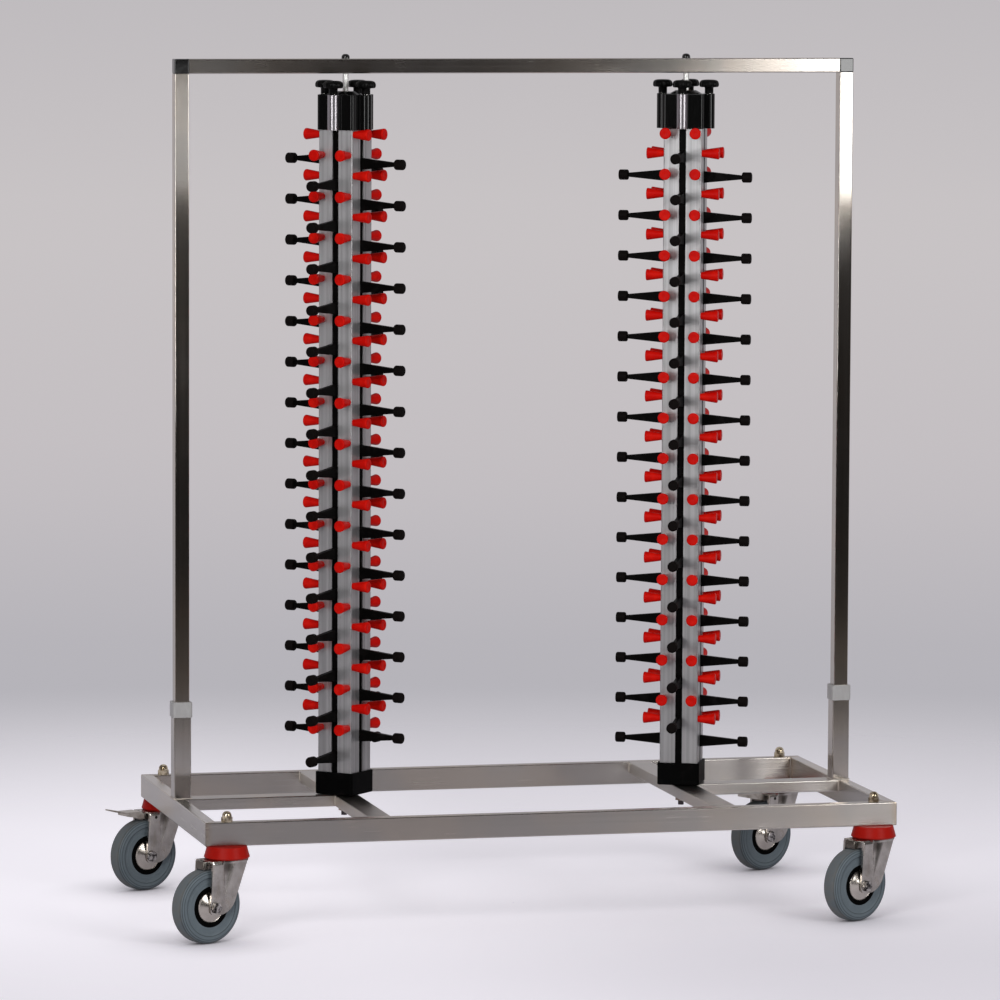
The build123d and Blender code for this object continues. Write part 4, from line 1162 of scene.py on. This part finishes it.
floor_fade = floor_place.maths("MAXIMUM", ease(floor_reach, *FLOOR_FADE), mirrored_fade)
clear = floor_place.node("ShaderNodeBsdfTransparent", {}, {})
faded = floor_place.node(
    "ShaderNodeMixShader", {}, {0: floor_fade, 1: Wire(floor_shader.outputs[0]), 2: clear}
)
floor_out = floor_finish.node_tree.nodes["Material Output"]
floor_finish.node_tree.links.new(faded.socket, floor_out.inputs["Surface"])
floor = floor_draft.piece("studio_floor", floor_finish)
floor.location.z = -FLOOR_DROP

ROOM_HALF = 6.5
ROOM_BACK = -9.0
ROOM_FRONT = -1.5
ROOM_TOP = 4.8
CARPET_END = -1.0
CARPET_HEIGHT = -0.01
CURTAIN_STEPS = 130
CURTAIN_FOLDS = ((0.06, 7.0), (0.03, 17.0))
curtain_draft = MeshDraft()
curtain_rows = []
for step in range(CURTAIN_STEPS + 1):
    x = ROOM_HALF * (2 * step / CURTAIN_STEPS - 1)
    fold = ROOM_BACK + sum(depth * sin(rate * x) for depth, rate in CURTAIN_FOLDS)
    floor_line = [Vector((x, CARPET_END, CARPET_HEIGHT)), Vector((x, fold, CARPET_HEIGHT))]
    ceiling_line = [Vector((x, fold, ROOM_TOP)), Vector((x, ROOM_FRONT, ROOM_TOP))]
    curtain_rows.append(floor_line + ceiling_line)
curtain_draft.strip(curtain_rows)
for side in (-ROOM_HALF, ROOM_HALF):
    curtain_draft.strip(
        [[Vector((side, y, height)) for height in (0.0, ROOM_TOP)] for y in (ROOM_BACK, ROOM_FRONT)]
    )
curtain_finish, curtain_shader, curtain_place = new_finish("dark_curtain", {"Roughness": 0.9})
curtain_weave = speckle(curtain_place, 30.0, 3.0)
curtain_brown = tone(curtain_weave, (0.025, 0.019, 0.014, 1.0), (0.05, 0.038, 0.028, 1.0))
feed(curtain_shader, {"Base Color": curtain_brown})
curtain = curtain_draft.piece("studio_curtain", curtain_finish)
curtain.visible_camera = False
curtain.visible_diffuse = False
curtain.visible_shadow = False

# Lamps and world
# Softboxes stand either side of the camera, a third hangs high up on the left, and a small white card
# gives the posts something bright to mirror. The world adds an even fill, and shows a pale grey backdrop
# to the camera and to mirrors.


def softbox(name, place, target, width, height, power):
    lamp = bpy.data.lights.new(name, "AREA")
    lamp.shape = "RECTANGLE"
    lamp.size = width
    lamp.size_y = height
    lamp.energy = power
    stand = bpy.data.objects.new(name, lamp)
    stand.location = place
    stand.rotation_mode = "QUATERNION"
    stand.rotation_quaternion = (Vector(target) - Vector(place)).to_track_quat("-Z", "Y")
    stand.visible_camera = False
    bpy.context.scene.collection.objects.link(stand)


softbox("high_softbox", (-2.2, -4.2, 3.2), (0.0, 0.0, 0.7), 1.8, 1.5, 80.0)
softbox("left_softbox", (-3.13, -3.62, 1.35), (-0.3, 0.0, 1.3), 1.0, 1.7, 42.0)
softbox("right_softbox", (2.3, -3.6, 1.9), (0.0, 0.0, 0.8), 1.6, 1.8, 62.0)
softbox("white_card", (0.08, -3.6, 1.20), (-0.585, 0.0, 1.4), 0.26, 0.26, 0.36)

AMBIENT = (0.34, 0.34, 0.36, 1.0)
BACKDROP_STOPS = (
    (0.20, (0.62, 0.59, 0.63, 1.0)),
    (0.432, (0.52, 0.505, 0.54, 1.0)),
    (0.4385, (0.455, 0.445, 0.48, 1.0)),
    (0.455, (0.55, 0.52, 0.54, 1.0)),
    (0.475, (0.58, 0.55, 0.56, 1.0)),
    (0.50, (0.50, 0.48, 0.50, 1.0)),
    (0.80, (0.46, 0.45, 0.47, 1.0)),
)
world = bpy.data.worlds.new("studio")
bpy.context.scene.world = world
world.use_nodes = True
backdrop = world.node_tree.nodes["Background"]
way = Wire(world.node_tree.nodes.new("ShaderNodeTexCoord").outputs["Generated"])
backdrop_tone = way.node(
    "ShaderNodeValToRGB", {"stops": BACKDROP_STOPS}, {"Fac": 0.5 + 0.5 * part_of(way, "Z")}
)
mirror_or_eye = rays(way, "Camera") + rays(way, "Glossy") + rays(way, "Transmission")
shown = tone(mirror_or_eye, AMBIENT, backdrop_tone)
world.node_tree.links.new(shown.socket, backdrop.inputs["Color"])

# Camera
# A long lens stands about eleven metres off, a little left of the object and above it, looking down.
CAMERA_PLACE = Vector((-2.535864, -10.387531, 1.719039))
CAMERA_YAW = 0.23703
CAMERA_PITCH = -0.09497
CAMERA_ROLL = 0.0043
CAMERA_LENS = 224.4
camera_data = bpy.data.cameras.new("studio_camera")
camera_data.sensor_width = 36.0
camera_data.sensor_fit = "HORIZONTAL"
camera_data.lens = CAMERA_LENS
camera_data.clip_end = 200.0
camera = bpy.data.objects.new("studio_camera", camera_data)
ahead = Vector(
    (sin(CAMERA_YAW) * cos(CAMERA_PITCH), cos(CAMERA_YAW) * cos(CAMERA_PITCH), sin(CAMERA_PITCH))
)
level_right = Vector((cos(CAMERA_YAW), -sin(CAMERA_YAW), 0))
level_up = level_right.cross(ahead)
right = cos(CAMERA_ROLL) * level_right + sin(CAMERA_ROLL) * level_up
up = cos(CAMERA_ROLL) * level_up - sin(CAMERA_ROLL) * level_right
camera.matrix_world = Matrix.Translation(CAMERA_PLACE) @ Matrix((right, up, -ahead)).transposed().to_4x4()
bpy.context.scene.collection.objects.link(camera)
bpy.context.scene.camera = camera
bpy.context.scene.view_settings.view_transform = "Standard"
